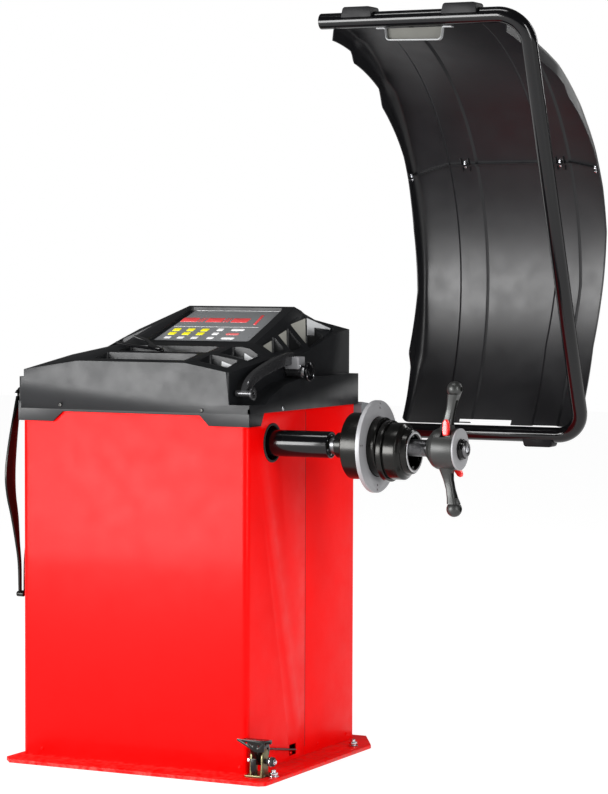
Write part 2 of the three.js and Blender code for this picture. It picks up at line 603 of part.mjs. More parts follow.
// ---- distance gauge ----
const gaugeGuide = cut(
  union(
    rodX(12.5, 176, 249, GAUGE_Y, GAUGE_Z, 24),
    box(176, 184, GAUGE_Y - 16, GAUGE_Y + 12.5, GAUGE_Z - 30, GAUGE_Z + 12),
    rodX(4, -104, 178, GAUGE_Y, GAUGE_Z - 22, 16),
  ),
  rodX(GAUGE_ROD_R + 0.5, 170, 260, GAUGE_Y, GAUGE_Z, 24),
);
add('gauge_guide', gaugeGuide, DARK_STEEL);
const slider = cut(
  box(-94, -66, GAUGE_Y - 14, GAUGE_Y + 14, GAUGE_Z - 30, GAUGE_Z + 15),
  rodX(GAUGE_ROD_R + 0.5, -100, -60, GAUGE_Y, GAUGE_Z, 24),
  rodX(4.6, -100, -60, GAUGE_Y, GAUGE_Z - 22, 16),
);
add('gauge_slider', slider, MATT_BLACK);
add('gauge_rod', rodX(GAUGE_ROD_R, -98, 300, GAUGE_Y, GAUGE_Z, 24), STEEL);

const ARM_LINE = [[-30, 880], [-70, 878], [-114, 871], [-160, 861], [-200, 850], [-229, 836], [-244, 817]];
const armUpper = ARM_LINE.map(([y, z], i) => [y - 3 - i, z + 8]);
const armLower = ARM_LINE.map(([y, z], i) => [y + i, z - 12 + i]).reverse();
const gaugeArm = union(
  prismX([...armUpper, ...armLower], 254, 271),
  box(253, 287, -42, -9, 862, 889),
  rodX(13, 253, 290, GAUGE_Y, GAUGE_Z, 28),
  rodX(7.5, 242, 280, -245, 817, 20),
  rodX(14, 279, 284, -245, 817, 24),
);
add('gauge_arm', cut(gaugeArm, rodX(GAUGE_ROD_R + 0.3, 240, 300, GAUGE_Y, GAUGE_Z, 24),
  rodX(4, 262, 290, -245, 817, 16)),
  GLOSS_BLACK);
add('gauge_knob', union(rodX(21, 301, 308, GAUGE_Y, GAUGE_Z, 28),
  rodX(12, 300.3, 302, GAUGE_Y, GAUGE_Z, 20)), GLOSS_BLACK);

// ---- hood ----
const hoodCorners = [
  [206, HOOD_AXLE_Y, HOOD_AXLE_Z], [HOOD_LOW_X, HOOD_AXLE_Y, HOOD_AXLE_Z],
  [HOOD_HIGH_X, HOOD_TOP_Y, HOOD_TOP_Z], [HOOD_LEFT_X, HOOD_TOP_Y, HOOD_TOP_Z],
];
const hoodBore = [
  [200, HOOD_AXLE_Y, HOOD_AXLE_Z], ...hoodCorners.slice(1, 3), [HOOD_LEFT_X - 6, HOOD_TOP_Y, HOOD_TOP_Z],
];
const hoodTube = cut(tube(hoodCorners, HOOD_TUBE_R, 62, 16, 6),
  tube(hoodBore, HOOD_TUBE_R - 2.5, 62, 16, 6));
add('hood_tube', hoodTube, GLOSS_BLACK);

const atAngle = (table, angle) => {
  const k = Math.min(Math.max(table.findIndex(([a]) => a >= angle), 1), table.length - 1);
  const [[a0, v0], [a1, v1]] = [table[k - 1], table[k]];
  return v0 + (v1 - v0) * Math.min(Math.max((angle - a0) / (a1 - a0), 0), 1);
};

// A channel that bends round the wheel: each row of eight corners is the channel's section at one angle.
function channel(a0, a1) {
  const bends = LEFT_LIP.map(([a]) => a).filter((a) => a > a0 + 1 && a < a1 - 1);
  const count = Math.round((a1 - a0) / 7);
  const steps = Array.from({ length: count + 1 }, (_, i) => a0 + ((a1 - a0) * i) / count);
  const angles = [...new Set([...steps.filter((a) => bends.every((b) => Math.abs(a - b) > 0.8)),
    ...bends])];
  angles.sort((a, b) => a - b);
  const points = [];
  for (const angle of angles) {
    const [left, right, x1] = [LEFT_LIP, RIGHT_LIP, RIGHT_X].map((table) => atAngle(table, angle));
    const section = [
      [GUARD_X0, left], [GUARD_X0, 0], [x1, 0], [x1, right], [x1 - GUARD_T, right], [x1 - GUARD_T, GUARD_T],
      [GUARD_X0 + GUARD_T, GUARD_T], [GUARD_X0 + GUARD_T, left],
    ];
    const turn = THREE.MathUtils.degToRad(angle);
    for (const [x, depth] of section) {
      points.push(x, GUARD_Y + (GUARD_R - depth) * Math.cos(turn),
        GUARD_Z + (GUARD_R - depth) * Math.sin(turn));
    }
  }
  const faces = [];
  const quad = (a, b, c, d) => faces.push(a, b, c, a, c, d);
  const last = (angles.length - 1) * 8;
  for (let row = 0; row < last; row += 8) {
    for (let i = 0; i < 8; i += 1) {
      const j = (i + 1) % 8;
      quad(row + i, row + j, row + 8 + j, row + 8 + i);
    }
  }
  for (const [a, b, c, d] of [[0, 7, 6, 1], [1, 6, 5, 2], [2, 5, 4, 3]]) {
    quad(a, b, c, d);
    quad(last + d, last + c, last + b, last + a);
  }
  const skin = new THREE.BufferGeometry();
  skin.setAttribute('position', new THREE.Float32BufferAttribute(points, 3));
  skin.setIndex(faces);
  return solid(skin);
}
const tubeClearance = tube(hoodCorners, HOOD_TUBE_R + 0.8, 62, 16, 6);
const guard = (a0, a1, window) => largest(cut(channel(a0, a1), window, tubeClearance));
const upperWindow = box(486, 626, -80, -20, 1573, 1640);
const lowerWindow = box(507, 632, 320, 380, 690, 741);
add('hood_guard_upper', guard(GUARD_SEAM_DEG + 0.1, GUARD_TOP_DEG, upperWindow), GUARD_BLACK);
add('hood_guard_lower', guard(GUARD_LOW_DEG, GUARD_SEAM_DEG - 0.1, lowerWindow), GUARD_BLACK);

function clamp(x0, x1, y, z, up, front) {
  const block = box(x0, x1, y - front, y + 18.5, Math.min(z + up * 5, z + up * 27),
    Math.max(z + up * 5, z + up * 27));
  return cut(block, rodX(HOOD_TUBE_R + 0.4, x0 - 1, x1 + 1, y, z, 20));
}
add('hood_clamp_upper_left', clamp(410, 481, HOOD_TOP_Y, HOOD_TOP_Z, 1, 23), MATT_BLACK);
add('hood_clamp_upper_right', clamp(642, 722, HOOD_TOP_Y, HOOD_TOP_Z, 1, 23), MATT_BLACK);
add('hood_clamp_lower', clamp(668, 740, HOOD_AXLE_Y, HOOD_AXLE_Z, -1, 14), MATT_BLACK);

const hoodBracket = cut(
  union(
    box(150, 270, CABINET_D / 2 + 0.3, CABINET_D / 2 + 6, 640, 772),
    prismX([[268, 650], [350, 690], [356, 768], [272, 778], [272, 770], [268, 770]], 196, 292),
    rodX(26, 292, 330, HOOD_AXLE_Y, HOOD_AXLE_Z, 28),
  ),
  rodX(HOOD_TUBE_R + 0.8, 200, 340, HOOD_AXLE_Y, HOOD_AXLE_Z, 24),
);
add('hood_bracket', hoodBracket, GREY);

// ---- wheel-weight pliers, lying on the tray deck ----
const PLIERS = { pivot: [-8, -163, 904], heading: -34, tilt: 11.2 };
const pliersHalf = [
  [-130, -20], [-128, -28], [-60, -22], [-12, -9], [8, -4], [45, 0.4], [45, 5], [30, 12], [10, 12], [-8, 8],
  [-20, -2], [-60, -13],
];
function pliersPart(side, z0) {
  const outline = pliersHalf.map(([u, v]) => [u, side * v]);
  return prismZ(outline, z0, z0 + 5).rotate([0, 0, PLIERS.heading]).rotate([PLIERS.tilt, 0,
    0]).translate(PLIERS.pivot);
}
add('pliers_lower', pliersPart(1, 0), OXIDE);
add('pliers_upper', pliersPart(-1, 5.4), OXIDE);

// ---- width caliper on the left wall ----
const caliperEdge = [[0, 16], [-30, -40], [-64, -170], [-40, -270], [-12, -376], [-9, -440]];
function caliperLeg(side, x0) {
  const outer = caliperEdge.map(([y, z]) => [CALIPER_Y + side * y, CALIPER_Z + z]);
  const inner = [[-1, -440], [-1, -376], [-14, -270], [-26, -170], [-8, -40], [8, 16]];
  const loop = [...outer, ...inner.map(([y, z]) => [CALIPER_Y + side * y, CALIPER_Z + z])];
  return cut(prismX(loop, x0, x0 + 5), rodX(6.6, x0 - 1, x0 + 6, CALIPER_Y, CALIPER_Z, 20));
}
const caliperTip = (side) => rodX(6, CALIPER_X - 9, CALIPER_X + 9, CALIPER_Y - side * 7.5,
  CALIPER_Z - 443, 16);
add('caliper_front_leg', union(caliperLeg(1, CALIPER_X - 6), caliperTip(1)), OXIDE);
add('caliper_rear_leg', union(caliperLeg(-1, CALIPER_X + 1), caliperTip(-1)), OXIDE);
const pegHead = rodX(11, CALIPER_X - 14, CALIPER_X - 8, CALIPER_Y, CALIPER_Z, 20);
add('caliper_peg', union(rodX(6, CALIPER_X - 9, -COVER_X - 0.3, CALIPER_Y, CALIPER_Z, 20), pegHead), ZINC);

export default machine;
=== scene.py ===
"""Looks of a floor-standing wheel balancer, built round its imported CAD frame.

Shapes are drawn in millimetres in the CAD frame and turned into metres when they become pieces:
+X along the spindle towards the wheel, +Y to the back, +Z up, origin at the cabinet's middle on the floor.
"""

import json
from math import cos, degrees, hypot, pi, radians, sin, tan

import bmesh
import bpy
from mathutils import Matrix, Vector, noise


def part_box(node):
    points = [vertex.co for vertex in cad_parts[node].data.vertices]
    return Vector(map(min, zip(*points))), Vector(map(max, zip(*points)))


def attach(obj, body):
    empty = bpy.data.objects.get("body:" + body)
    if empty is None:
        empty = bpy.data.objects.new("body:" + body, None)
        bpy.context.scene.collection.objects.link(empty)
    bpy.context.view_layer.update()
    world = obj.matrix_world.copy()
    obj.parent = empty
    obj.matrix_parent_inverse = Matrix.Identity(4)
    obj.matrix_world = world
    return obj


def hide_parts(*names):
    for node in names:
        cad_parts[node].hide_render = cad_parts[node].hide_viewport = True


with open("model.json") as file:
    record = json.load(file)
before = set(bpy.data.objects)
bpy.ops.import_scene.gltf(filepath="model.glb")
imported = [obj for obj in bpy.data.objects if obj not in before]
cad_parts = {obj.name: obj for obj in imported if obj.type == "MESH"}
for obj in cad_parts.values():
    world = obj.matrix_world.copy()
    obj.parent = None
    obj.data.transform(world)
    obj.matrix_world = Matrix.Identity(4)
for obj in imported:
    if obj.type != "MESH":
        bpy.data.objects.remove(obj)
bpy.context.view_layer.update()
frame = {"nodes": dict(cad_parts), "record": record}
scene = bpy.context.scene
MM = 0.001


def box_mm(node):
    """The CAD node's lowest and highest corners in millimetres."""
    low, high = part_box(node)
    return low / MM, high / MM


# ---- places and sizes in millimetres; a LINE is the (Y, Z) of an axis along X ----
SPINDLE_Y, SPINDLE_Z = SPINDLE_LINE = (-151, 708)
HOOD_FOOT_LINE = (326, 713)
HOOD_TOP_LINE = (-69, 1610)
HOOD_TUBE_R = 17
HOOD_BEND = 62
GUARD_Y, GUARD_Z, GUARD_R = -144, 1046, 575
GUARD_X0 = 372
GUARD_ENDS_DEG = (-33.4, 80.3)
GUARD_SEAM_DEG = 28.6
COVER_X, COVER_Y = 286, 270
LIP_Z = 747
PEDAL_LINE = (-267, 42)
GAUGE_LINE = (-24, 857)
CALIPER_X = -311
CALIPER_Y, CALIPER_Z = CALIPER_LINE = (-214, 800)


# ---- materials ----
def add(tree, kind, links=(), **values):
    """A node; values name sockets or properties, and links pair a socket with its source."""
    node = tree.nodes.new("ShaderNode" + kind)
    for key, value in values.items():
        name = key.replace("_", " ").title()
        if name in node.inputs:
            node.inputs[name].default_value = value
        else:
            setattr(node, key, value)
    for name, source in links:
        tree.links.new(source, node.inputs[name])
    return node


def stretched_noise(tree, scale, detail, stretch=(1, 1, 1), offset=(0, 0, 0)):
    place = add(tree, "TexCoord").outputs["Object"]
    mapping = add(tree, "Mapping", [("Vector", place)], scale=stretch, location=offset)
    links = [("Vector", mapping.outputs["Vector"])]
    return add(tree, "TexNoise", links, scale=scale, detail=detail).outputs["Fac"]


def ramp(tree, factor, low, high, to_low, to_high):
    limits = {"from_min": low, "from_max": high, "to_min": to_low, "to_max": to_high}
    return add(tree, "MapRange", [("Value", factor)], **limits).outputs["Result"]


def blend_colours(tree, factor, first, second):
    node = add(tree, "Mix", data_type="RGBA")
    tree.links.new(factor, node.inputs[0])
    for socket, colour in ((node.inputs[6], first), (node.inputs[7], second)):
        if isinstance(colour, tuple):
            socket.default_value = (*colour, 1)
        else:
            tree.links.new(colour, socket)
    return node.outputs[2]


def relief(tree, height, distance, strength=1.0, below=None):
    node = add(tree, "Bump", [("Height", height)], strength=strength, distance=distance)
    if below is not None:
        tree.links.new(below, node.inputs["Normal"])
    return node.outputs["Normal"]


def ring_marks(tree, centre, scale):
    """Turning marks: noise along X and with the distance from a line parallel to X, in metres."""
    place = add(tree, "TexCoord").outputs["Object"]
    shifted = add(tree, "Mapping", [("Vector", place)], location=(0, -centre[0] * MM, -centre[1] * MM))
    parts = add(tree, "SeparateXYZ", [("Vector", shifted.outputs["Vector"])]).outputs
    across = add(tree, "CombineXYZ", [("Y", parts["Y"]), ("Z", parts["Z"])])
    radius = add(tree, "VectorMath", [("Vector", across.outputs["Vector"])], operation="LENGTH")
    flat = add(tree, "CombineXYZ", [("X", parts["X"]), ("Y", radius.outputs["Value"])])
    return add(tree, "TexNoise", [("Vector", flat.outputs["Vector"])], scale=scale, detail=3).outputs["Fac"]


def new_material(name):
    """A material with its node tree and its shader."""
    material = bpy.data.materials.new(name)
    material.use_nodes = True
    return material, material.node_tree, material.node_tree.nodes["Principled BSDF"]


def finish(slot, name, colour, rough, metal=0.0, coat=0.0, coat_rough=0.08, shade=0.12, grain=(900, 0.05),
        ripple=(60, 0.1), rough_spread=0.08, rings=None, scratches=0.0, dirt=None, specular=0.5):
    """A procedural material. grain and ripple are (scale, depth in mm), dirt is (colour, top in mm)."""
    material, tree, shader = new_material(name)
    material["slot"] = slot
    for socket, value in (("Metallic", metal), ("Coat Weight", coat), ("Coat Roughness", coat_rough),
            ("Specular IOR Level", specular)):
        shader.inputs[socket].default_value = value
    broad = stretched_noise(tree, 7.0, 5.0)
    dark = tuple(max(c * (1 - shade), 0) for c in colour)
    light = tuple(min(c * (1 + shade), 1) for c in colour)
    tint = blend_colours(tree, ramp(tree, broad, 0.3, 0.7, 0, 1), dark, light)
    blotches = stretched_noise(tree, 23.0, 6.0, offset=(3, 1, 2))
    roughness = ramp(tree, blotches, 0.3, 0.7, max(rough - rough_spread, 0.02), rough + rough_spread)
    normal = relief(tree, stretched_noise(tree, ripple[0], 2.0), ripple[1] * MM)
    if scratches:
        streaks = stretched_noise(tree, 40.0, 3.0, stretch=(1, 1, 14), offset=(5, 0, 0))
        mask = ramp(tree, streaks, 0.62, 0.72, 0, scratches)
        tint = blend_colours(tree, mask, tint, light)
        normal = relief(tree, streaks, 0.03 * MM, 0.4, normal)
    if rings:
        marks = ring_marks(tree, rings, 1500)
        tint = blend_colours(tree, ramp(tree, marks, 0.35, 0.65, 0, 1), tint, light)
        normal = relief(tree, marks, 0.008 * MM, 0.4, normal)
    if dirt:
        dirt_colour, top = dirt
        place = add(tree, "TexCoord").outputs["Object"]
        height = add(tree, "SeparateXYZ", [("Vector", place)]).outputs["Z"]
        low = ramp(tree, height, 0, top * MM, 0.55, 0)
        speckle = add(tree, "Math", operation="MULTIPLY")
        tree.links.new(low, speckle.inputs[0])
        tree.links.new(ramp(tree, stretched_noise(tree, 90, 6), 0.4, 0.65, 0, 1), speckle.inputs[1])
        tint = blend_colours(tree, speckle.outputs["Value"], tint, dirt_colour)
    tree.links.new(tint, shader.inputs["Base Color"])
    tree.links.new(roughness, shader.inputs["Roughness"])
    fine = relief(tree, stretched_noise(tree, grain[0], 2.0), grain[1] * MM, 0.6, normal)
    tree.links.new(fine, shader.inputs["Normal"])
    return material


DUST = (0.16, 0.13, 0.11)
red_paint = finish("red_paint", "red_powder_coat", (0.86, 0.0, 0.0), 0.45, coat=0.05, coat_rough=0.15,
    shade=0.03, grain=(700, 0.02), ripple=(170, 0.04), dirt=(DUST, 12), specular=0.07)
cover_plastic = finish("cover_plastic", "textured_cover", (0.0065, 0.007, 0.008), 0.40, shade=0.2,
    grain=(1100, 0.14), ripple=(35, 0.05), rough_spread=0.05, scratches=0.05, specular=0.30)
guard_plastic = finish("guard_plastic", "guard_moulding", (0.006, 0.006, 0.007), 0.36, shade=0.2,
    grain=(700, 0.02), ripple=(9, 0.3), rough_spread=0.04, scratches=0.06, specular=0.32)
black_plastic = finish("black_plastic", "black_moulding", (0.006, 0.006, 0.007), 0.38, ripple=(50, 0.04),
    specular=0.1)
gloss_black = finish("gloss_black_paint", "gloss_black_enamel", (0.002, 0.002, 0.0025), 0.16, coat=0.3,
    coat_rough=0.05, grain=(500, 0.01), ripple=(90, 0.03), rough_spread=0.04, specular=0.2)
black_oxide = finish("black_oxide", "oiled_black_oxide", (0.017, 0.0168, 0.016), 0.22, metal=0.85,
    shade=0.2, grain=(1600, 0.02), ripple=(40, 0.01), rings=SPINDLE_LINE)
machined_steel = finish("machined_steel", "turned_steel", (0.50, 0.50, 0.51), 0.34, metal=0.9,
    grain=(1500, 0.02), ripple=(40, 0.01), rings=SPINDLE_LINE)
satin_steel = finish("machined_steel", "blasted_steel", (0.27, 0.27, 0.28), 0.5, metal=0.3,
    grain=(1500, 0.03), ripple=(120, 0.02), rings=SPINDLE_LINE)
dark_steel = finish("dark_steel", "oiled_steel", (0.13, 0.13, 0.135), 0.32, metal=1.0, ripple=(60, 0.04),
    rings=SPINDLE_LINE)
cast_black = finish("cast_black", "fine_casting", (0.042, 0.043, 0.042), 0.36, metal=0.6, shade=0.2,
    grain=(900, 0.10), ripple=(160, 0.12))
zinc = finish("zinc", "bright_zinc", (0.68, 0.69, 0.72), 0.25, metal=1.0, ripple=(200, 0.04))
olive_zinc = finish("olive_zinc", "yellow_zinc", (0.14, 0.13, 0.065), 0.36, metal=0.85, shade=0.35,
    ripple=(150, 0.08))
grey_paint = finish("grey_paint", "grey_enamel", (0.17, 0.18, 0.19), 0.4, coat=0.3, ripple=(120, 0.06))
red_plastic = finish("red_plastic", "red_dip", (0.86, 0.010, 0.008), 0.30, coat=0.3, ripple=(150, 0.06))
black_rubber = finish("black_rubber", "black_rubber", (0.009, 0.009, 0.009), 0.75, grain=(1300, 0.1))
board_green = finish("circuit_board", "board_lacquer", (0.01, 0.1, 0.035), 0.4, coat=0.5)
keypad_film = finish("keypad_film", "grey_film", (0.150, 0.155, 0.160), 0.34, coat=0.25, shade=0.05,
    ripple=(90, 0.03))
led_red = finish("keypad_film", "red_window", (0.66, 0.055, 0.06), 0.30, coat=0.4, shade=0.06,
    ripple=(60, 0.02))
key_yellow = finish("keypad_film", "yellow_key", (0.85, 0.78, 0.01), 0.35, coat=0.2, shade=0.04)
key_white = finish("keypad_film", "white_key", (0.80, 0.80, 0.80), 0.35, coat=0.2, shade=0.04)
key_pink = finish("keypad_film", "start_key", (0.66, 0.14, 0.14), 0.35, coat=0.2, shade=0.05)
# Painted highlights: pale and grey copies of the cover's colour for the lit walls of its pockets.
pale_painted_highlight = finish("cover_plastic", "pale_painted_highlight", (0.34, 0.335, 0.30), 0.42, grain=(1100, 0.12))
grey_painted_highlight = finish("cover_plastic", "grey_painted_highlight", (0.60, 0.61, 0.62), 0.42, shade=0.05,
    grain=(900, 0.03))
# The guard's pan: lighter and darker copies of one grey, a painted highlight on the rim and painted shade
# on the back.
pan_rim_highlight = finish("guard_plastic", "pan_rim_highlight", (0.26, 0.265, 0.27), 0.4, shade=0.06, grain=(900, 0.03),
    specular=0.2)
pan_shaded_grey = finish("guard_plastic", "pan_back_shaded", (0.095, 0.094, 0.084), 0.45, grain=(900, 0.03), specular=0.1)
arm_black = finish("gloss_black_paint", "arm_enamel", (0.055, 0.055, 0.058), 0.24, metal=0.7, coat=0.3,
    shade=0.1, grain=(500, 0.02), ripple=(60, 0.05))


# ---- shapes ----
def rounded(points, radii, closed=True, steps=5):
    """A 2-D outline with its corners rounded. radii is one radius, or one for each corner."""
    count = len(points)
    radii = [radii] * count if isinstance(radii, (int, float)) else radii
    result = []
    for i, (corner, radius) in enumerate(zip(points, radii)):
        corner = Vector(corner)
        open_end = not closed and i in (0, count - 1)
        if radius <= 0 or open_end:
            result.append(tuple(corner))
            continue
        before = Vector(points[i - 1]) - corner
        after = Vector(points[(i + 1) % count]) - corner
        half = before.angle(after) / 2
        if half > radians(88):
            result.append(tuple(corner))
            continue
        inset = min(radius / tan(half), 0.49 * before.length, 0.49 * after.length)
        radius = inset * tan(half)
        before.normalize()
        after.normalize()
        centre = corner + (before + after).normalized() * (radius / sin(half))
        start = corner + before * inset - centre
        end = corner + after * inset - centre
        sweep = start.angle_signed(end)
        for s in range(steps + 1):
            result.append(tuple(centre + Matrix.Rotation(-sweep * s / steps, 2) @ start))
    return result


def loft(loops, closed=True, caps=True):
    """A skin through loops of points. Each loop is closed on itself if closed is true."""
    bm = bmesh.new()
    rows = [[bm.verts.new(point) for point in loop] for loop in loops]
    count = len(rows[0])
    for a, b in zip(rows, rows[1:]):
        for i in range(count if closed else count - 1):
            j = (i + 1) % count
            bm.faces.new((a[i], a[j], b[j], b[i]))
    if caps:
        bm.faces.new(rows[0])
        bm.faces.new(rows[-1])
    bmesh.ops.recalc_face_normals(bm, faces=bm.faces)
    return bm


AXES = {"x": (1, 2, 0), "y": (0, 2, 1), "z": (0, 1, 2)}


def prism(outline, low, high, axis="x", taper=0.0):
    """An outline drawn across an axis and carried along it. taper pulls the low end in."""
    u, v, w = AXES[axis]
    middle = [sum(p[k] for p in outline) / len(outline) for k in (0, 1)]

    def loop(level, inset):
        made = []
        for p in outline:
            point = [0, 0, 0]
            offset = [p[0] - middle[0], p[1] - middle[1]]
            size = max(hypot(*offset), 1e-6)
            point[u] = middle[0] + offset[0] * (1 - inset / size)
            point[v] = middle[1] + offset[1] * (1 - inset / size)
            point[w] = level
            made.append(point)
        return made

    return loft([loop(low, taper), loop(high, 0)])


def rectangle(x0, x1, y0, y1):
    return [(x0, y0), (x1, y0), (x1, y1), (x0, y1)]


def block(x0, x1, y0, y1, z0, z1):
    return prism(rectangle(x0, x1, y0, y1), z0, z1, "z")


def turned(profile, centre=SPINDLE_LINE, segments=96, closed=False, edges=None, steps=5):
    """A piece turned from (x, radius) points with edges rounded. A closed profile has a bore."""
    if edges is not None:
        profile = rounded(profile, edges, closed, steps)
    bm = bmesh.new()
    rows = []
    for x, radius in profile:
        if radius < 1e-6:
            rows.append([bm.verts.new((x, *centre))])
            continue
        angles = (2 * pi * i / segments for i in range(segments))
        rows.append([bm.verts.new((x, centre[0] + radius * cos(a), centre[1] + radius * sin(a)))
            for a in angles])
    pairs = list(zip(rows, rows[1:])) + ([(rows[-1], rows[0])] if closed else [])
    for a, b in pairs:
        for i in range(segments):
            j = (i + 1) % segments
            corners = list(dict.fromkeys((a[i % len(a)], a[j % len(a)], b[j % len(b)], b[i % len(b)])))
            if len(corners) > 2:
                bm.faces.new(corners)
    bmesh.ops.recalc_face_normals(bm, faces=bm.faces)
    return bm


def rod(x0, x1, radius, centre=(0, 0), segments=32, edge=None, steps=3):
    """A round bar parallel to X, with the edges of its ends rounded."""
    return turned([(x0, 0), (x0, radius), (x1, radius), (x1, 0)], centre, segments, False, edge, steps)


def ring(x0, x1, bore, radius, edges, centre=SPINDLE_LINE, segments=96, steps=5):
    """A plain ring. edges rounds the bore and the rim at x0, then the rim and the bore at x1."""
    return turned([(x0, bore), (x0, radius), (x1, radius), (x1, bore)], centre, segments, True, edges,
        steps)


def on_circle(centre, reach, angle):
    """The (Y, Z) of a point at an angle in degrees round a line parallel to X."""
    return centre[0] + reach * cos(radians(angle)), centre[1] + reach * sin(radians(angle))


def aimed(bm, place, direction=(1, 0, 0)):
    """Turn a shape that was drawn along X at the origin to point along a direction from a place."""
    turn = Vector((1, 0, 0)).rotation_difference(Vector(direction)).to_matrix().to_4x4()
    bm.transform(Matrix.Translation(place) @ turn)
    return bm


def bent_path(corners, radius, steps=14):
    """Straight runs with round bends through 3-D corners."""
    corners = [Vector(c) for c in corners]
    path = [corners[0]]
    for back, corner, ahead in zip(corners, corners[1:], corners[2:]):
        a, b = (back - corner).normalized(), (ahead - corner).normalized()
        half = a.angle(b) / 2
        centre = corner + (a + b).normalized() * (radius / sin(half))
        start = corner + a * (radius / tan(half)) - centre
        axis = start.cross(corner + b * (radius / tan(half)) - centre)
        for s in range(steps + 1):
            path.append(centre + Matrix.Rotation((pi - 2 * half) * s / steps, 3, axis) @ start)
    path.append(corners[-1])
    return path


def swept(path, section, caps=True, sizes=None):
    """Carry a closed section of (u, v) points along a path without twist. sizes scale it at each point."""
    path = [Vector(p) for p in path]
    tangents = [(path[min(i + 1, len(path) - 1)] - path[max(i - 1, 0)]).normalized()
        for i in range(len(path))]
    side = tangents[0].orthogonal().normalized()
    loops = []
    for i, (point, tangent) in enumerate(zip(path, tangents)):
        side = (side - tangent * side.dot(tangent)).normalized()
        other = tangent.cross(side)
        size = sizes[i] if sizes else 1.0
        loops.append([point + (side * u + other * v) * size for u, v in section])
    return loft(loops, caps=caps)


def circle(radius, sides=40):
    return [(radius * cos(2 * pi * i / sides), radius * sin(2 * pi * i / sides)) for i in range(sides)]


def mesh_of(shape, name):
    """A shape's mesh. The shape itself is used up."""
    mesh = bpy.data.meshes.new(name)
    shape.to_mesh(mesh)
    shape.free()
    return mesh


def merged(*shapes):
    """Several closed shapes as one mesh."""
    whole = bmesh.new()
    for shape in shapes:
        mesh = mesh_of(shape, "part")
        whole.from_mesh(mesh)
        bpy.data.meshes.remove(mesh)
    return whole


def placed(name, data):
    """A new object in the scene."""
    made = bpy.data.objects.new(name, data)
    scene.collection.objects.link(made)
    return made


def cleaned(bm):
    """Join points that coincide and make flat faces whole."""
    bmesh.ops.remove_doubles(bm, verts=bm.verts, dist=0.01)
    bmesh.ops.dissolve_limit(bm, angle_limit=radians(0.5), verts=bm.verts, edges=bm.edges)
    return bm


def boolean(base, tools, operation="DIFFERENCE"):
    """Cut tools out of a shape, or join or intersect them with it, one after another."""
    for tool in tools:
        objects = [placed("boolean", mesh_of(shape, "boolean")) for shape in (base, tool)]
        modifier = objects[0].modifiers.new("boolean", "BOOLEAN")
        modifier.operation, modifier.solver, modifier.object = operation, "EXACT", objects[1]
        bpy.context.view_layer.update()
        result = objects[0].evaluated_get(bpy.context.evaluated_depsgraph_get())
        base = bmesh.new()
        base.from_mesh(result.to_mesh())
        result.to_mesh_clear()
        for made in objects:
            mesh = made.data
            bpy.data.objects.remove(made)
            bpy.data.meshes.remove(mesh)
    return cleaned(base)


def soften(bm, width, segments=3, angle=30, chosen=None):
    """Round the sharp edges, or those of them that chosen picks."""
    sharp = [e for e in bm.edges if len(e.link_faces) == 2 and e.calc_face_angle(0) > radians(angle)
        and (chosen is None or chosen(e))]
    bmesh.ops.bevel(bm, geom=sharp, offset=width, segments=segments, profile=0.5, affect="EDGES",
        clamp_overlap=True)
    return bm


def copy_of(node):
    """The CAD node's shape in millimetres."""
    bm = bmesh.new()
    bm.from_mesh(frame["nodes"][node].data)
    bm.transform(Matrix.Scale(1 / MM, 4))
    return cleaned(bm)


BODY_OF = {node: body for body, nodes in frame["record"]["behaviour"]["bodies"].items() for node in nodes}


def piece(name, bm, material, node=None, body="cabinet", crease=32.0):
    """Make a shape in mm, or several, into a piece on the body of the CAD node it stands for."""
    if not isinstance(bm, bmesh.types.BMesh):
        bm = merged(*bm)
    bm.transform(Matrix.Scale(MM, 4))
    mesh = mesh_of(bm, name)
    mesh.materials.append(material)
    mesh.polygons.foreach_set("use_smooth", [True] * len(mesh.polygons))
    mesh.set_sharp_from_angle(angle=radians(crease))
    made = placed(name, mesh)
    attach(made, BODY_OF[node] if node else body)
    if node:
        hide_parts(node)
    return made


def read_table(table, place):
    """The value at a place in a table of (place, value) rows, level past its ends."""
    for (p0, v0), (p1, v1) in zip(table, table[1:]):
        if place <= p1:
            return v0 + (v1 - v0) * max((place - p0) / (p1 - p0), 0)
    return table[-1][1]


def washer_head(radius, height, across):
    """A pan head with a hexagon socket, drawn along +X from the origin."""
    profile = [(0, 0), (0, radius), (height, radius * 0.82), (height, 0)]
    dome = turned(profile, (0, 0), 32, edges=[0, 0.2, height * 0.6, 0])
    return boolean(dome, [prism(circle(across / 2, 6), height * 0.35, height + 1)])


def hex_bolt(across, height, washer=0.0, stud=0.0):
    """A hexagon head, with a washer under it and a stud out of it, drawn along +X from the origin."""
    shapes = [soften(prism(circle(across / 2, 6), washer, washer + height), across * 0.03, 2)]
    if washer:
        shapes.append(rod(0, washer, across * 0.62, edge=0.3, steps=2))
    if stud:
        root, tip = washer + height - 1, washer + height + stud
        thick, thin = across * 0.27, across * 0.2
        profile = [(root, 0), (root, thick), (tip - 1, thick), (tip, thin), (tip, 0)]
        shapes.append(turned(profile, (0, 0), 24))
    return merged(*shapes)


# ---- cabinet ----
def softened_copy(name, node, material, width, segments=2, angle=40):
    piece(name, soften(copy_of(node), width, segments, angle), material, node)


softened_copy("cabinet_front", "cabinet_front_shell", red_paint, 0.6)
softened_copy("cabinet_rear", "cabinet_rear_shell", red_paint, 0.6)
softened_copy("floor_plate", "base_plate", red_paint, 1.6, 3)
softened_copy("inlet_socket", "mains_inlet", black_plastic, 0.8)

# The joint between the two shells shows as a dark line down the right side.
seam_y = box_mm("cabinet_rear_shell")[0].y
side_x = box_mm("cabinet_front_shell")[1].x
seam_line = block(side_x - 0.2, side_x + 0.12, seam_y - 1.0, seam_y + 0.5, 28, LIP_Z + 20)
piece("side_seam", seam_line, black_rubber)

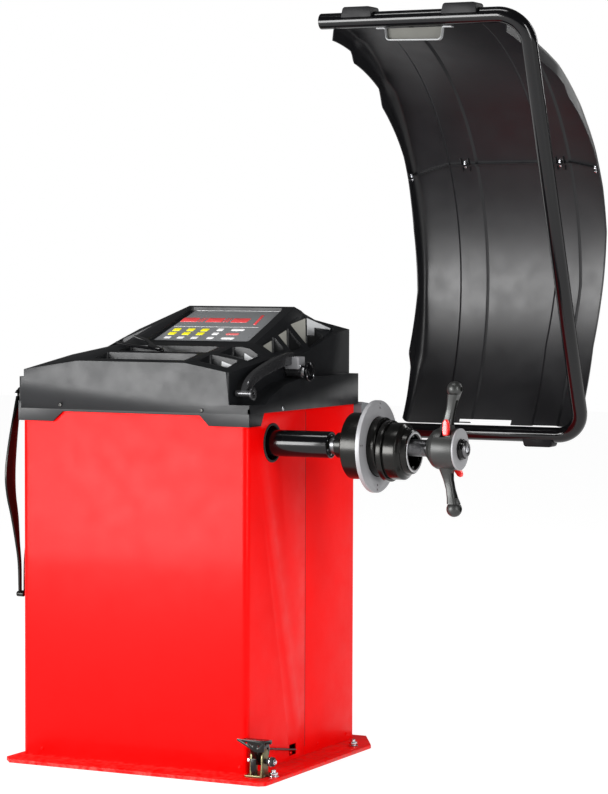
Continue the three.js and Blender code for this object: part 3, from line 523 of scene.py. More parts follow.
# A black ring round the spindle hole: painted shade standing for the dark inside of the hole round the
# tube.
hole_shade_ring = [(277.2, 37.4), (277.2, 42.5), (281.4, 42.5), (282.6, 41.2), (282.6, 38.6), (281.4, 37.4)]
piece("spindle_hole_shade_ring", turned(hole_shade_ring, closed=True), black_rubber)

for node in ("anchor_bolt_front", "anchor_bolt_rear"):
    low, high = box_mm(node)
    place = ((low.x + high.x) / 2, (low.y + high.y) / 2, 8.4)
    piece(f"{node}_detail", aimed(hex_bolt(19, 7, washer=2.4, stud=6), place, (0, 0, 1)), zinc, node)

# Small rivets hold the cabinet's foot flange to the floor plate.
RIVET = (4.0, 2.2, 3.2)
rivets = [aimed(washer_head(*RIVET), (x, -264, 24), (0, -1, 0)) for x in (-230, 262)]
rivets += [aimed(washer_head(*RIVET), (side * 280, y, 24), (side, 0, 0))
    for y in (-236, -60, 70, 220) for side in (1, -1)]
piece("foot_rivets", rivets, red_paint)

# ---- moulded top cover ----
STATIONS = [
    (-270, (-272, -135, 130, 237), (859, 880, 880, 861)),
    (-76, (-266, -112, 198, 246), (886, 918, 918, 888)),
    (47, (-262, -96, 191, 253), (893, 961, 961, 893)),
    (138, (-260, -82, 186, 257), (918, 995, 995, 918)),
    (214, (-258, -84, 186, 261), (938, 968, 968, 938)),
    (268, (-256, -84, 186, 264), (943, 947, 947, 943)),
]
BAND_Z0, BAND_Z1, SHELF_Z = 774, 843, 793
ARCH = [(46, BAND_Z1), (-28, 842), (-110, 829), (-161, 810), (-196, SHELF_Z)]
DISPLAY_Y0, DISPLAY_Y1 = -66, 130
DISPLAY_SLOPE = (995 - 918) / (138 + 76)
POCKETS = {
    "front_tray": (-112, 120, -246, -184, 846),
    "rear_tray": (-94, 132, -170, -112, 858),
    "left_tray": (-238, -150, -60, 96, 858),
    "corner_pocket": (148, 222, -244, -190, 836),
    "side_pocket": (162, 230, -174, -112, 842),
    "small_cone_pocket": (207, 240, -68, -10, 868),
    "middle_cone_pocket": (205, 245, 8, 66, 866),
    "large_cone_pocket": (202, 252, 80, 166, 868),
}
SLOT = [(201, 130), (191, 176), (241, 236), (251, 202)]
ABOVE_Z = 1040
POCKET_DRAFT = 3.0


def display_z(y, lift=0.0):
    return 918 + DISPLAY_SLOPE * (y + 76) + lift


def cover_outside():
    loops = [[(xs[0], y, 776), (xs[3], y, 776), *reversed([(x, y, z) for x, z in zip(xs, zs)])]
        for y, xs, zs in STATIONS]
    band = block(-COVER_X, 226, -COVER_Y, COVER_Y, BAND_Z0, BAND_Z1)
    side = [(-COVER_Y, BAND_Z0), (COVER_Y, BAND_Z0), (COVER_Y, BAND_Z1), *ARCH, (-COVER_Y, SHELF_Z)]
    return boolean(loft(loops), [band, prism(side, 225, COVER_X)], "UNION")


def pocket_cutter(x0, x1, y0, y1, floor):
    return prism(rounded(rectangle(x0, x1, y0, y1), 7), floor, ABOVE_Z, "z", POCKET_DRAFT)


def display_cutter():
    outline = rounded([(-84, DISPLAY_Y0), (177, DISPLAY_Y0), (164, DISPLAY_Y1), (-72, DISPLAY_Y1)], 6)
    return loft([[(x * scale, y, display_z(y, lift)) for x, y in outline]
        for lift, scale in ((-8.4, 1 - 0.006), (40, 1))])


def cover_z(x, y):
    """The height of the cover's sloping skin over a point."""
    for (y0, xs0, zs0), (y1, xs1, zs1) in zip(STATIONS, STATIONS[1:]):
        if y <= y1:
            share = (y - y0) / (y1 - y0)
            xs = [a + (b - a) * share for a, b in zip(xs0, xs1)]
            zs = [a + (b - a) * share for a, b in zip(zs0, zs1)]
            return read_table(list(zip(xs, zs)), x)
    return STATIONS[-1][2][0]


def highlight_sheet(start, end, floor, below=5.0, lean=2.4):
    """A thin plate on a pocket's wall between two points, leaning in towards the pocket's floor. Given a
    pale colour, it is a painted highlight for the light on that wall.
    """
    run = Vector((end[0] - start[0], end[1] - start[1])).normalized()
    inward = Vector((-run.y, run.x))

    def corner(point, low, lift):
        spot = Vector(point) + inward * (lift + (lean if low else 0))
        return spot.x, spot.y, floor + 1 if low else cover_z(*point) - below

    corners = ((start, True), (end, True), (end, False), (start, False))
    return loft([[corner(point, low, lift) for point, low in corners] for lift in (0.4, 1.4)])


def cover_shell():
    tools = [pocket_cutter(*size) for size in POCKETS.values()]
    tools += [display_cutter(), prism(rounded(SLOT, 6), 928, ABOVE_Z, "z", POCKET_DRAFT),
        rod(200, 300, 13, GAUGE_LINE, 48)]
    shell = boolean(cover_outside(), tools)

    def corner(edge):
        a, b = edge.verts
        upright = abs(a.co.z - b.co.z) > 20 and abs((a.co - b.co).normalized().z) > 0.9
        return upright and abs(a.co.y) > COVER_Y - 4 and abs(a.co.x) > 220

    soften(shell, 7, 4, 40, corner)
    bottom = [f for f in shell.faces if f.normal.z < -0.99 and f.calc_center_median().z < BAND_Z0 + 3]
    bmesh.ops.delete(shell, geom=bottom, context="FACES")
    soften(shell, 2.4, 3, 24)
    return shell


cover = piece("cover_moulding", cover_shell(), cover_plastic, "top_cover", crease=40)
thickness = cover.modifiers.new("wall", "SOLIDIFY")
thickness.thickness = 0.003
thickness.offset = -1

# Pale and grey sheets on the pockets' walls are painted highlights: the light falling on those walls is
# painted into their colour.
pale_highlight_sheets, grey_highlight_sheets = [], []
for pocket in ("small_cone_pocket", "middle_cone_pocket", "large_cone_pocket"):
    x0, x1, y0, y1, floor = POCKETS[pocket]
    pale_highlight_sheets.append(highlight_sheet((x0, y1 - 7), (x0, y0 + 7), floor))
for pocket in ("corner_pocket", "side_pocket"):
    x0, x1, y0, y1, floor = POCKETS[pocket]
    grey_highlight_sheets.append(highlight_sheet((x1 - 7, y1), (x0 + 30, y1), floor))
grey_highlight_sheets.append(highlight_sheet((238, 231), (196, 180), 929, 4))
piece("cone_pocket_painted_highlights", pale_highlight_sheets, pale_painted_highlight)
piece("pocket_painted_highlights", grey_highlight_sheets, grey_painted_highlight)

APRON = [(-COVER_X, 790), (-COVER_X, LIP_Z), (-198, LIP_Z), (-173, 769), (167, 769), (189, LIP_Z),
    (COVER_X, LIP_Z), (COVER_X, 790)]
SIDE_LIP = [(-COVER_Y, 785), (-COVER_Y, LIP_Z), (-216, LIP_Z), (-194, 785)]
skirt = boolean(prism(APRON, -COVER_Y + 0.02, -COVER_Y + 4, "y"),
    [prism(SIDE_LIP, COVER_X - 4, COVER_X - 0.02), prism(SIDE_LIP, -COVER_X + 0.02, -COVER_X + 4)], "UNION")
piece("cover_skirt", soften(skirt, 1.2, 2, 40), cover_plastic)

for node in ("cover_screw_left", "cover_screw_right", "cover_screw_side"):
    low, high = box_mm(node)
    centre = (low + high) / 2
    side_screw = node.endswith("side")
    place = (COVER_X + 0.2, centre.y, centre.z) if side_screw else (centre.x, -COVER_Y - 0.2, centre.z)
    head = aimed(washer_head(4.8, 2.2, 4.4), place, (1, 0, 0) if side_screw else (0, -1, 0))
    piece(f"{node}_head", head, zinc if side_screw else black_oxide, node)


# ---- display panel ----
PANEL_DEPTH = 5.6


def on_display(outline, lift, height):
    """A thin plate that follows the sloping display, lift above the panel's face."""
    return loft([[(x, y, display_z(y, lift + level - PANEL_DEPTH)) for x, y in outline]
        for level in (-0.3, height)])


def key_outline(x, y, width, depth, radius):
    outline = rectangle(x - width / 2, x + width / 2, y - depth / 2, y + depth / 2)
    return rounded(outline, radius, steps=4)


PANEL = [(-70, DISPLAY_Y0 + 1), (175.5, DISPLAY_Y0 + 1), (162.5, DISPLAY_Y1 - 1), (-58, DISPLAY_Y1 - 1)]
piece("display_film", soften(on_display(rounded(PANEL, 5), -2.6, 2.6), 0.4, 2), keypad_film, "keypad_panel")
windows = [key_outline(x, 68, 42, 23, 1.5) for x in (-41, 23, 87)]
piece("display_windows", [soften(on_display(w, 0, 0.6), 0.3, 2) for w in windows], led_red)
slashes = [[(x - 3, 57), (x + 1, 57), (x + 4, 80), (x, 80)] for x in (-14, -6, 50, 58)]
slashes.append([(131, 44), (138, 44), (131, 99), (124, 99)])
piece("display_bars", [soften(on_display(s, 0, 0.5), 0.2, 2) for s in slashes], led_red)
lines = [rectangle(-62, 152, 28, 29), rectangle(-56, 158, 123.6, 124.4)]
piece("display_lines", [on_display(line, 0, 0.15) for line in lines], key_white)
yellow_keys = [key_outline(x, y, 18, 14, 2) for x in (-43, -7.5, 28) for y in (9, -13)]
white_keys = [key_outline(66, y, 15, 12, 2) for y in (11.5, -12)]
white_keys += [key_outline(x, -36.5, 16, 10, 2) for x in (-42, -9, 26, 66)]
oval_keys = [key_outline(110, y, 33, 10, 4.9) for y in (12, -37)]


def dished_key(outline):
    """A raised key with a soft edge."""
    return soften(on_display(outline, 0, 1.0), 0.6, 3)


piece("yellow_keys", map(dished_key, yellow_keys), key_yellow)
piece("white_keys", map(dished_key, white_keys + oval_keys), key_white)
piece("start_key", dished_key(key_outline(109, -12.5, 33, 10, 4.9)), key_pink)

# ---- pliers on the tray deck ----
for node in ("pliers_lower", "pliers_upper"):
    softened_copy(f"{node}_half", node, gloss_black, 1.6, 3, 25)

# ---- spindle housing, shaft and flange ----
housing = turned([(-130, 24.6), (-130, 28.4), (421, 28.4), (421, 24.5), (418.5, 24.5), (418.5, 16.4),
    (405, 16.4), (405, 24.6)], closed=True, edges=0.8, steps=3)
foot = soften(block(112, 168, -181, -121, 640, 690), 1.5)
piece("spindle_tube", (housing, foot), gloss_black, "spindle_housing")
piece("housing_end_ring", ring(418.7, 420.2, 16.8, 24.3, 0.3, steps=2), black_rubber)
ring_screws = [aimed(washer_head(2.0, 1.2, 1.6), (420.2, *on_circle(SPINDLE_LINE, 20.6, angle)))
    for angle in range(30, 360, 60)]
piece("housing_ring_screws", ring_screws, zinc)


def threaded(x0, x1, radius, pitch, depth, segments=72):
    """A screw thread as one closed helical skin: each lap of the skin climbs one pitch."""
    steps_per_pitch = 4
    laps = int((x1 - x0) / pitch)
    rows = []
    for k in range(laps * steps_per_pitch + 1):
        loop = []
        for i in range(segments):
            turn = i / segments
            along = x0 + k * pitch / steps_per_pitch
            phase = (k / steps_per_pitch - turn) % 1.0
            height = radius - depth * abs(2 * phase - 1)
            angle = 2 * pi * turn
            loop.append((along, SPINDLE_Y + height * cos(angle), SPINDLE_Z + height * sin(angle)))
        rows.append(loop)
    return loft(rows)


shaft_plain = turned([(-196, 0), (-196, 15), (424, 15), (424, 20), (437, 20), (437, 15), (549.4, 15),
    (549.4, 17.4), (556, 17.4), (556, 0)], edges=[0, 1, 0.5, 1.5, 0.5, 0, 0, 1, 0.5, 0], steps=3)
shaft_thread = threaded(555, 729, 18, 3, 1.1)
shaft_nose = turned([(728, 0), (728, 17), (731, 17), (735, 14), (735, 8.5), (732.6, 8.5), (732.6, 0)],
    segments=64, edges=[0, 0.3, 1, 1, 0.8, 0.3, 0], steps=3)
piece("spindle_shaft", (shaft_plain, shaft_thread, shaft_nose), dark_steel, "main_shaft")
piece("spindle_end_screw", aimed(washer_head(7.4, 3.0, 6.2), (731.6, *SPINDLE_LINE)), zinc, body="spindle")
boss = ring(437.3, 471.7, 15.3, 27, [0.4, 2, 0.4, 0.3], steps=4)
piece("spindle_boss", boss, black_oxide, body="spindle")

drum = turned([(472, 15.3), (472, 70.5), (521.8, 70.5), (521.8, 62.6), (546, 62), (549, 60), (549, 50),
    (545, 46), (545, 15.3)], SPINDLE_LINE, 128, True, [0.4, 3.5, 0.4, 0.2, 2.5, 1.5, 1.5, 2, 0.4])
piece("flange_drum", drum, black_oxide, "flange_hub")

# The bright disc has a pair of small holes at each quarter.
disc_holes = [rod(515, 540, 2.5, on_circle(SPINDLE_LINE, reach, angle), 20)
    for angle in (86, 176, 266, 356) for reach in (81.5, 90.5)]
disc = ring(522, 531.5, 63.3, 97.5, [0.3, 0.9, 0.9, 0.6], segments=160, steps=3)
piece("flange_face", boolean(disc, disc_holes), satin_steel, "flange_disc")

CUP_LINE = (SPINDLE_Y, SPINDLE_Z - 8.5)
cup = turned([(552, 27.2), (552, 64.6), (564.5, 64.6), (564.5, 57.5), (567, 57.5), (567, 60), (594, 60),
    (599, 52), (602, 50.5), (602, 48), (612, 47), (615, 42.5), (615, 37.5), (612, 35.5), (576, 35.5),
    (576, 27.2)], CUP_LINE, 128, True, [0.4, 1.6, 1.4, 0.6, 0.6, 1.2, 4, 2, 1, 0.8, 2.5, 0.8, 0.8, 1.5, 2,
    0.5], 4)
piece("cup_body", cup, black_oxide, "centring_cone")
lugs = []
for k in range(6):
    lug = prism(rounded(rectangle(-4, 4, 0, 6), 1.5), 582, 611)
    lug.transform(Matrix.Translation((0, *CUP_LINE)) @ Matrix.Rotation(radians(60 * k), 4, "X")
        @ Matrix.Translation((0, 0, -36.5)))
    lugs.append(lug)
piece("cup_lugs", lugs, black_oxide, body="cone")
rim = [(613.2, 37.6), (613.2, 44.0), (615.4, 42.6), (615.4, 38.0)]
piece("cup_rim", turned(rim, CUP_LINE, 128, True, 0.3, 2), machined_steel, body="cone")

# ---- quick nut ----
NUT_LEVER_X = 697
nut = turned([(650, 22.2), (650, 25), (653, 29), (662, 39), (670, 43), (714.8, 43), (714.8, 22.2)],
    closed=True, edges=[0.4, 1.2, 3, 6, 6, 0.8, 0.3], steps=4)
slots = [block(NUT_LEVER_X - 12, NUT_LEVER_X + 12, SPINDLE_Y - side * 26 - 8, SPINDLE_Y - side * 26 + 8,
    *sorted((SPINDLE_Z + side * 26, SPINDLE_Z + side * 60))) for side in (1, -1)]
piece("nut_drum", soften(boolean(nut, slots), 0.8, 2, 40), cast_black, "nut_body")
nut_face = ring(715.1, 719.5, 22.2, 43.8, [0.3, 1, 1, 0.5], steps=3)
piece("nut_face_ring", nut_face, satin_steel, "nut_end_ring")
sleeve = turned([(646, 18.8), (646, 21.5), (725, 21.5), (725, 19.6), (729, 19.6), (729, 18.8)], closed=True,
    edges=[0.4, 1.2, 1.2, 0.5, 0.6, 0.3], steps=3)
piece("nut_half_sleeve", sleeve, gloss_black, "nut_sleeve")


def nut_arm(up):
    """An arm with a channel down its outer side, flaring into a ball that has a hole through its face."""
    def section(stations, outline):
        return loft([[(x + u, SPINDLE_Y + v, SPINDLE_Z + up * height) for u, v in outline(half_y, width)]
            for height, half_y, width, x in stations])

    def bar(half_y, width):
        outline = rectangle(-width / 2, width / 2, -half_y, half_y)
        return rounded(outline, min(half_y, width / 2) * 0.55, steps=4)

    def channel(half_y, width):
        depth = width * 0.2
        inner, outer = half_y * 0.5, half_y * 0.6
        return [(depth, -inner), (width, -outer), (width, outer), (depth, inner)]

    stations = [(38, 17, 30, 688), (50, 12.5, 24, 689), (64, 9.6, 20, 692), (84, 9.2, 18, 697),
        (102, 12.5, 19, 701), (114, 15, 23, 704)]
    arm = boolean(section(stations, bar), [section(stations[1:-1], channel)])
    ball = bmesh.new()
    bmesh.ops.create_uvsphere(ball, u_segments=48, v_segments=28, radius=16.4)
    ball.transform(Matrix.Translation((705, SPINDLE_Y, SPINDLE_Z + up * 125)))
    hole = turned([(712, 0), (712, 4.4), (730, 5.4), (730, 0)], (SPINDLE_Y - 1.5, SPINDLE_Z + up * 125), 24)
    arm = boolean(arm, [boolean(ball, [hole])], "UNION")
    return soften(boolean(arm, [rod(650, 730, 38, SPINDLE_LINE, 48)]), 1.6, 3, 38)


piece("nut_arm_upper", nut_arm(1), cast_black, "nut_handle_upper")
piece("nut_arm_lower", nut_arm(-1), cast_black, "nut_handle_lower")


def nut_tongue(up, cant):
    """A flat release lever with a round grip, canted outwards on its pin."""
    outline = rounded([(-5.5, -8.5), (5.5, -8.5), (7, 4), (5.5, 20), (0, 27), (-5.5, 20), (-7, 4)],
        [2, 2, 5, 5, 5, 5, 5])
    shape = soften(prism(outline, -5.8, 5.8, "y"), 3.4, 5, 40)
    shape.transform(Matrix.Translation((NUT_LEVER_X, SPINDLE_Y - up * 26, SPINDLE_Z + up * 38))
        @ Matrix.Rotation(radians(0 if up > 0 else 180), 4, "X") @ Matrix.Rotation(radians(cant), 4, "Y"))
    return shape


piece("release_tongue_upper", nut_tongue(1, 0), red_plastic, "nut_lever_upper")
piece("release_tongue_lower", nut_tongue(-1, 32), red_plastic, "nut_lever_lower")

# ---- foot brake ----
ear = rounded([(-284, 12), (-254, 12), (-252, 60), (-262, 70), (-280, 58)], [1, 1, 6, 9, 8], steps=6)
bracket_parts = [soften(block(284, 325, -284, -228, 8.3, 12.3), 0.6, 2)]
for x in (296, 321):
    cheek = boolean(prism(ear, x, x + 4), [rod(x - 5, x + 9, 5.6, PEDAL_LINE)])
    bracket_parts.append(soften(cheek, 0.5, 2))
piece("pedal_bearing", bracket_parts, olive_zinc, "pedal_bracket")
pin = rod(292, 332, 5, PEDAL_LINE, edge=0.6, steps=2)
piece("pedal_shaft", (pin, ring(332, 346, 5, 10, [1, 2, 2, 1], PEDAL_LINE, 48, 4)), black_rubber,
    "pedal_pin")
piece("roller_ring", ring(337, 339, 9.5, 10.6, 0.3, PEDAL_LINE, 48, 2), zinc)
pivot_bolt = aimed(hex_bolt(12, 5, washer=1.4), (290.6, *PEDAL_LINE), (-1, 0, 0))
end_cap = aimed(hex_bolt(9, 3.2, washer=1.0), (346, *PEDAL_LINE))
piece("pedal_bolts", (pivot_bolt, end_cap), zinc)

lever = rounded([(-276, 34), (-258, 34), (-236, 50), (-232, 64), (-238, 76), (-250, 76), (-280, 64),
    (-296, 91), (-311, 92), (-284, 52)], [5, 5, 5, 4, 4, 4, 8, 3, 3, 8], steps=5)
lever_tools = [rod(290, 335, 5.6, PEDAL_LINE), block(300, 330, -248.2, -239.8, 56, 67)]
pedal_lever = soften(boolean(prism(lever, 303, 318), lever_tools), 0.7, 2, 40)
tread = prism([(-324, 92), (-288, 89), (-288, 92.5), (-324, 95.5)], 287, 351)
tread_holes = [aimed(rod(-15, 15, 4, segments=24), (x, -306, 93), (0, 0.08, 1)) for x in (298, 318, 338)]
tread = soften(boolean(tread, tread_holes), 0.7, 2, 40)
nose_roll = aimed(rod(0, 62, 4.5, edge=1.2), (288, -289, 87.5))
fold = rounded([(287, 92), (287, 96.5), (351, 91.5), (351, 71), (330, 71)], [1, 1, 1, 4, 6], steps=4)
fold_holes = [aimed(rod(-6, 6, 2.7, segments=20), (x, -323.5, z), (0, 1, 0))
    for x, z in ((309, 89.3), (323, 86.4), (337, 82.5))]
front_fold = soften(boolean(prism(fold, -325, -322, "y"), fold_holes), 0.5, 2, 40)
piece("pedal_lever", (pedal_lever, tread, front_fold, nose_roll), black_oxide, "brake_pedal")
tab = rounded([(303, 50), (316, 50), (316, 26), (309.5, 13), (303, 26)], [1, 1, 2, 0.8, 2])
piece("pedal_stop_tab", soften(prism(tab, -293.5, -291, "y"), 0.4, 2, 40), black_oxide)
rod_path = bent_path([(316, -244, 63), (289, -244, 63), (289, -50, 30), (262, -50, 30)], 7, 8)
piece("brake_pull_rod", swept(rod_path, circle(2.6, 20)), dark_steel, "brake_rod")

# ---- distance gauge ----
gauge_low, gauge_high = box_mm("gauge_rod")
gauge_shaft = rod(gauge_low.x, gauge_high.x, 9, GAUGE_LINE, 48, 0.8)
piece("gauge_shaft", gauge_shaft, machined_steel, "gauge_rod")
scale_lines = [turned([(x, 9.03), (x, 9.12), (x + 0.6, 9.12), (x + 0.6, 9.03)], GAUGE_LINE, 40, True)
    for x in range(-80, 250, 10)]
piece("gauge_scale_marks", scale_lines, black_oxide, body="gauge")
bush = [(246.2, 9.8), (246.2, 17), (250.4, 16), (251, 14), (251, 9.8)]
piece("gauge_hole_bush", turned(bush, GAUGE_LINE, 48, True), black_plastic)
ARM_LINE = [(-30, 880), (-70, 878), (-114, 871), (-160, 861), (-200, 850), (-229, 836), (-244, 817)]


def smooth_line(points, steps=6):
    """A Catmull-Rom curve through 2-D points."""
    points = [Vector(p) for p in points]
    padded = [2 * points[0] - points[1], *points, 2 * points[-1] - points[-2]]
    curve = []
    for a, b, c, d in zip(padded, padded[1:], padded[2:], padded[3:]):
        for s in range(steps):
            t = s / steps
            curve.append(0.5 * (2 * b + (c - a) * t + (2 * a - 5 * b + 4 * c - d) * t ** 2
                + (3 * b - a - 3 * c + d) * t ** 3))
    return [*curve, points[-1]]


def gauge_bar():
    """The curved bar: a soft-edged section that narrows towards the tip."""
    loops = []
    curve = smooth_line(ARM_LINE)
    for i, point in enumerate(curve):
        share = i / (len(curve) - 1)
        ahead = (curve[min(i + 1, len(curve) - 1)] - curve[max(i - 1, 0)]).normalized()
        normal = Vector((ahead.y, -ahead.x))
        upper, lower = 9.5 + share, 19 - 9 * share
        section = rounded(rectangle(254, 271, -upper, lower), 4.2)
        loops.append([(x, *(point + normal * h)) for x, h in section])
    return loft(loops)


arm_block = soften(block(253, 287, -42, -9, 862, 889), 2.4, 4)
arm_hub = ring(253, 290, 9.4, 13, [0.3, 1, 1, 0.3], GAUGE_LINE, 48)
tip_tube = turned([(242, 0), (242, 7.5), (279, 7.5), (279, 14), (284, 14), (284, 4), (264, 4), (264, 0)],
    (-245, 817), 48, False, [0, 0.8, 1.5, 1.2, 1.2, 0.8, 0.4, 0], 3)
piece("gauge_bar", (gauge_bar(), arm_hub, tip_tube), arm_black, "gauge_arm")
piece("gauge_clamp_block", arm_block, satin_steel, body="gauge")
knob = turned([(300.3, 9.2), (300.3, 12), (301, 21), (308, 21), (308, 15.5), (306, 15.5), (306, 9.2)],
    GAUGE_LINE, 64, True, [0.3, 0.5, 1, 1.4, 0.6, 0.6, 0.3])
cap = turned([(305, 0), (305, 9), (308, 8), (308, 0)], GAUGE_LINE, 40, False, [0, 0.3, 1, 0], 3)
piece("gauge_grip", (knob, cap), gloss_black, "gauge_knob")
grip_screws = [aimed(washer_head(2.6, 1.6, 2.2), (307.0, *on_circle(GAUGE_LINE, 18, angle)))
    for angle in (90, 210, 330)]
clamp_screw = aimed(washer_head(3.4, 2.4, 3.0), (287, -33, 868))
piece("gauge_screws", (*grip_screws, clamp_screw), zinc, body="gauge")

# ---- wheel hood ----
HOOD_CORNERS = [(206, *HOOD_FOOT_LINE), (807, *HOOD_FOOT_LINE), (824, *HOOD_TOP_LINE),
    (354, *HOOD_TOP_LINE)]
hood_path = bent_path(HOOD_CORNERS, HOOD_BEND, 24)
piece("hood_frame", swept(hood_path, circle(HOOD_TUBE_R, 48)), gloss_black, "hood_tube")
plug = [(357.0, 0), (357.0, 14), (353.2, 16.4), (352.4, 13), (351.6, 0)]
piece("hood_tube_plug", turned(plug, HOOD_TOP_LINE, 48), black_plastic, body="hood")

# The guard at angles round its arc: how far each lip stands in, and the X of its right side.
LEFT_LIP = [(-33.4, 20), (-28, 24), (-20.5, 34), (-17.5, 55), (-11, 46), (-2, 32), (13.5, 40), (33, 29),
    (49, 50), (53, 30), (68, 53), (70, 35), (80.3, 42)]
RIGHT_LIP = [(-33.4, 12), (-10, 12), (20, 14), (31.5, 18), (43, 34), (50, 42), (53, 34), (66, 42),
    (80.3, 38)]
RIGHT_X = [(-33.4, 797), (-14, 801), (1, 818), (12, 829), (23, 831), (33, 829), (44, 823), (57, 810),
    (67, 786), (80.3, 776)]
RIGHT_STEP_X = [(-33.4, 686), (-14, 687), (0, 703), (80.3, 703)]


def guard_section(angle):
    """The guard across its width: a rolled cheek, the band with two shallow steps, and the other cheek."""
    left, right, x1, step = (read_table(table, angle)
        for table in (LEFT_LIP, RIGHT_LIP, RIGHT_X, RIGHT_STEP_X))
    line = [(GUARD_X0, -left), (GUARD_X0 + 1, -1.5), (468, -1.5), (473, -5), (534, -5), (539, -1.5),
        (step - 3, -1.5), (step + 2, -4.5), (step + 56, -4.5), (step + 61, -1.5), (x1 - 1, -1.5),
        (x1, -right)]
    radii = [0, min(36, left * 0.9), 3, 3, 3, 3, 3, 3, 3, 3, min(14, right * 0.9), 0]
    return rounded(line, radii, closed=False, steps=7)


def seam_dip(x):
    """How many degrees the seam between the guard's halves drops towards each cheek."""
    return read_table([(372, 2.6), (400, 2.3), (440, 0.5), (470, 0), (775, 0), (800, 0.8), (832, 1.7)], x)


def round_guard(x, depth, angle):
    """A point at X, at a depth in from the guard's outer radius, at an angle round its arc."""
    c, s = cos(radians(angle)), sin(radians(angle))
    return x, GUARD_Y + (GUARD_R + depth) * c, GUARD_Z + (GUARD_R + depth) * s


def guard_sheet(start, end, window):
    """One half of the guard as a sheet with real thickness and a window cut in its end."""
    rows = []
    count = int((end - start) / 0.9)
    for k in range(count + 1):
        angle = start + (end - start) * k / count
        dip = max(1 - abs(angle - GUARD_SEAM_DEG) / 8, 0)
        sag = 0.35 * noise.noise(Vector((angle * 0.07, 3.1, 0))) - 1.3
        rows.append([round_guard(x, depth + sag, angle - dip * seam_dip(x))
            for x, depth in guard_section(angle)])
    sheet = loft(rows, closed=False, caps=False)
    bmesh.ops.solidify(sheet, geom=sheet.faces[:], thickness=2.4)
    bmesh.ops.recalc_face_normals(sheet, faces=sheet.faces)
    return boolean(sheet, window)


def guard_flange(side):
    """A low ridge across the guard at the seam, 9 mm deep, where the two halves bolt together."""
    corners = [(-2.6, 0.25), (-2.6, 2.2), (-11.5, 2.2), (-11.5, 0.25)]
    loops = []
    for x, level in guard_section(GUARD_SEAM_DEG)[3:-3]:
        angle = GUARD_SEAM_DEG - seam_dip(x)
        loops.append([round_guard(x, level + depth, angle + side * degrees(offset / GUARD_R))
            for depth, offset in corners])
    return loft(loops)


upper_window = prism(rounded(rectangle(488, 632, -90, -20), [6, 6, 12, 12]), 1560, 1640, "z")
lower_window = prism(rounded(rectangle(507, 632, 330, 390), 2), 690, 742, "z")
tube_room = swept(bent_path(HOOD_CORNERS, HOOD_BEND, 12), circle(HOOD_TUBE_R + 0.8))
upper_sheet = guard_sheet(GUARD_SEAM_DEG + 0.05, GUARD_ENDS_DEG[1], [upper_window, tube_room.copy()])
piece("guard_upper", (upper_sheet, guard_flange(1)), guard_plastic, "hood_guard_upper", crease=50)
lower_sheet = guard_sheet(GUARD_ENDS_DEG[0], GUARD_SEAM_DEG - 0.05, [lower_window, tube_room])
piece("guard_lower", (lower_sheet, guard_flange(-1)), guard_plastic, "hood_guard_lower", crease=50)

seam_up = Vector((0, -sin(radians(GUARD_SEAM_DEG)), cos(radians(GUARD_SEAM_DEG))))
seam_bolts, ribs = [], []
for x, depth in ((GUARD_X0 + 5, -22), (510, -10), (739, -10), (822, -14)):
    for side in (-1, 1):
        place = Vector(round_guard(x, depth, GUARD_SEAM_DEG - seam_dip(x) + side * 0.25))
        seam_bolts.append(aimed(hex_bolt(8, 3.2, washer=1.0, stud=2), place, seam_up * side))
    if depth == -10:
        for offset in (-9, 9):
            root = Matrix.Translation(round_guard(x + offset, -3, GUARD_SEAM_DEG))
            rib = soften(block(-10, 0, -1.1, 1.1, -16, 16), 0.5, 2)
            rib.transform(root @ Matrix.Rotation(radians(GUARD_SEAM_DEG), 4, "X")
                @ Matrix.Rotation(radians(90), 4, "Z"))
            ribs.append(rib)
piece("seam_bolts", seam_bolts, zinc, body="hood")
piece("seam_ribs", ribs, guard_plastic, body="hood")


# The shallow pan under the guard's top edge: a U-shaped rim with flat ends and a plate behind it.
pan = [(482, 1590), (502, 1590), (505, 1565), (631, 1562), (635, 1589), (656, 1588)]
pan = rounded(pan, [0, 3, 9, 9, 3, 0], False)
# The rim is painted lighter as a highlight and the back darker as shade.
rim_loops = [[(x, -68, z), (x, -68, z + 2.6), (x, -56, z + 2.6), (x, -56, z)] for x, z in pan]
piece("guard_pocket_rim", loft(rim_loops), pan_rim_highlight, body="hood")
pan_plate = rounded([(503, 1591), (505, 1565), (631, 1562), (634, 1591)], [0.5, 9, 9, 0.5])
piece("guard_pocket_back", prism(pan_plate, -58, -56, "y"), pan_shaded_grey, body="hood")

# Each clamp is a saddle over one side of the tube.
for node in ("hood_clamp_upper_left", "hood_clamp_upper_right", "hood_clamp_lower"):
    low, high = box_mm(node)
    upper = node != "hood_clamp_lower"
    back, front = (high.z, low.z) if upper else (low.z, high.z)
    outline = [(low.x, front), (high.x, front), (high.x - 1, back), (low.x + 5, back)]
    saddle = prism(rounded(outline, [2, 2, 7, 7]), low.y, high.y, "y")
    bore = rod(low.x - 2, high.x + 2, HOOD_TUBE_R + 0.4, HOOD_TOP_LINE if upper else HOOD_FOOT_LINE, 48)
    piece(f"{node}_saddle", soften(boolean(saddle, [bore]), 1.8, 3, 35), black_plastic, node)

softened_copy("hood_bearing", "hood_bracket", grey_paint, 1.2, 3, 35)
bearing_bolts = [aimed(hex_bolt(13, 5, washer=1.6), (x, 270.2, z), (0, 1, 0))
    for x in (164, 182) for z in (654, 758)]
piece("hood_bearing_bolts", bearing_bolts, zinc)

# ---- width caliper ----
CALIPER_OUTER = [(2, 20), (-14, 4), (-30, -40), (-52, -110), (-64, -170), (-58, -220), (-40, -270),
    (-22, -330), (-12, -376), (-9, -440)]
CALIPER_INNER = [(-1, -440), (-2, -376), (-8, -330), (-14, -270), (-24, -220), (-26, -170), (-20, -110),
    (-8, -40), (6, 0), (12, 14)]


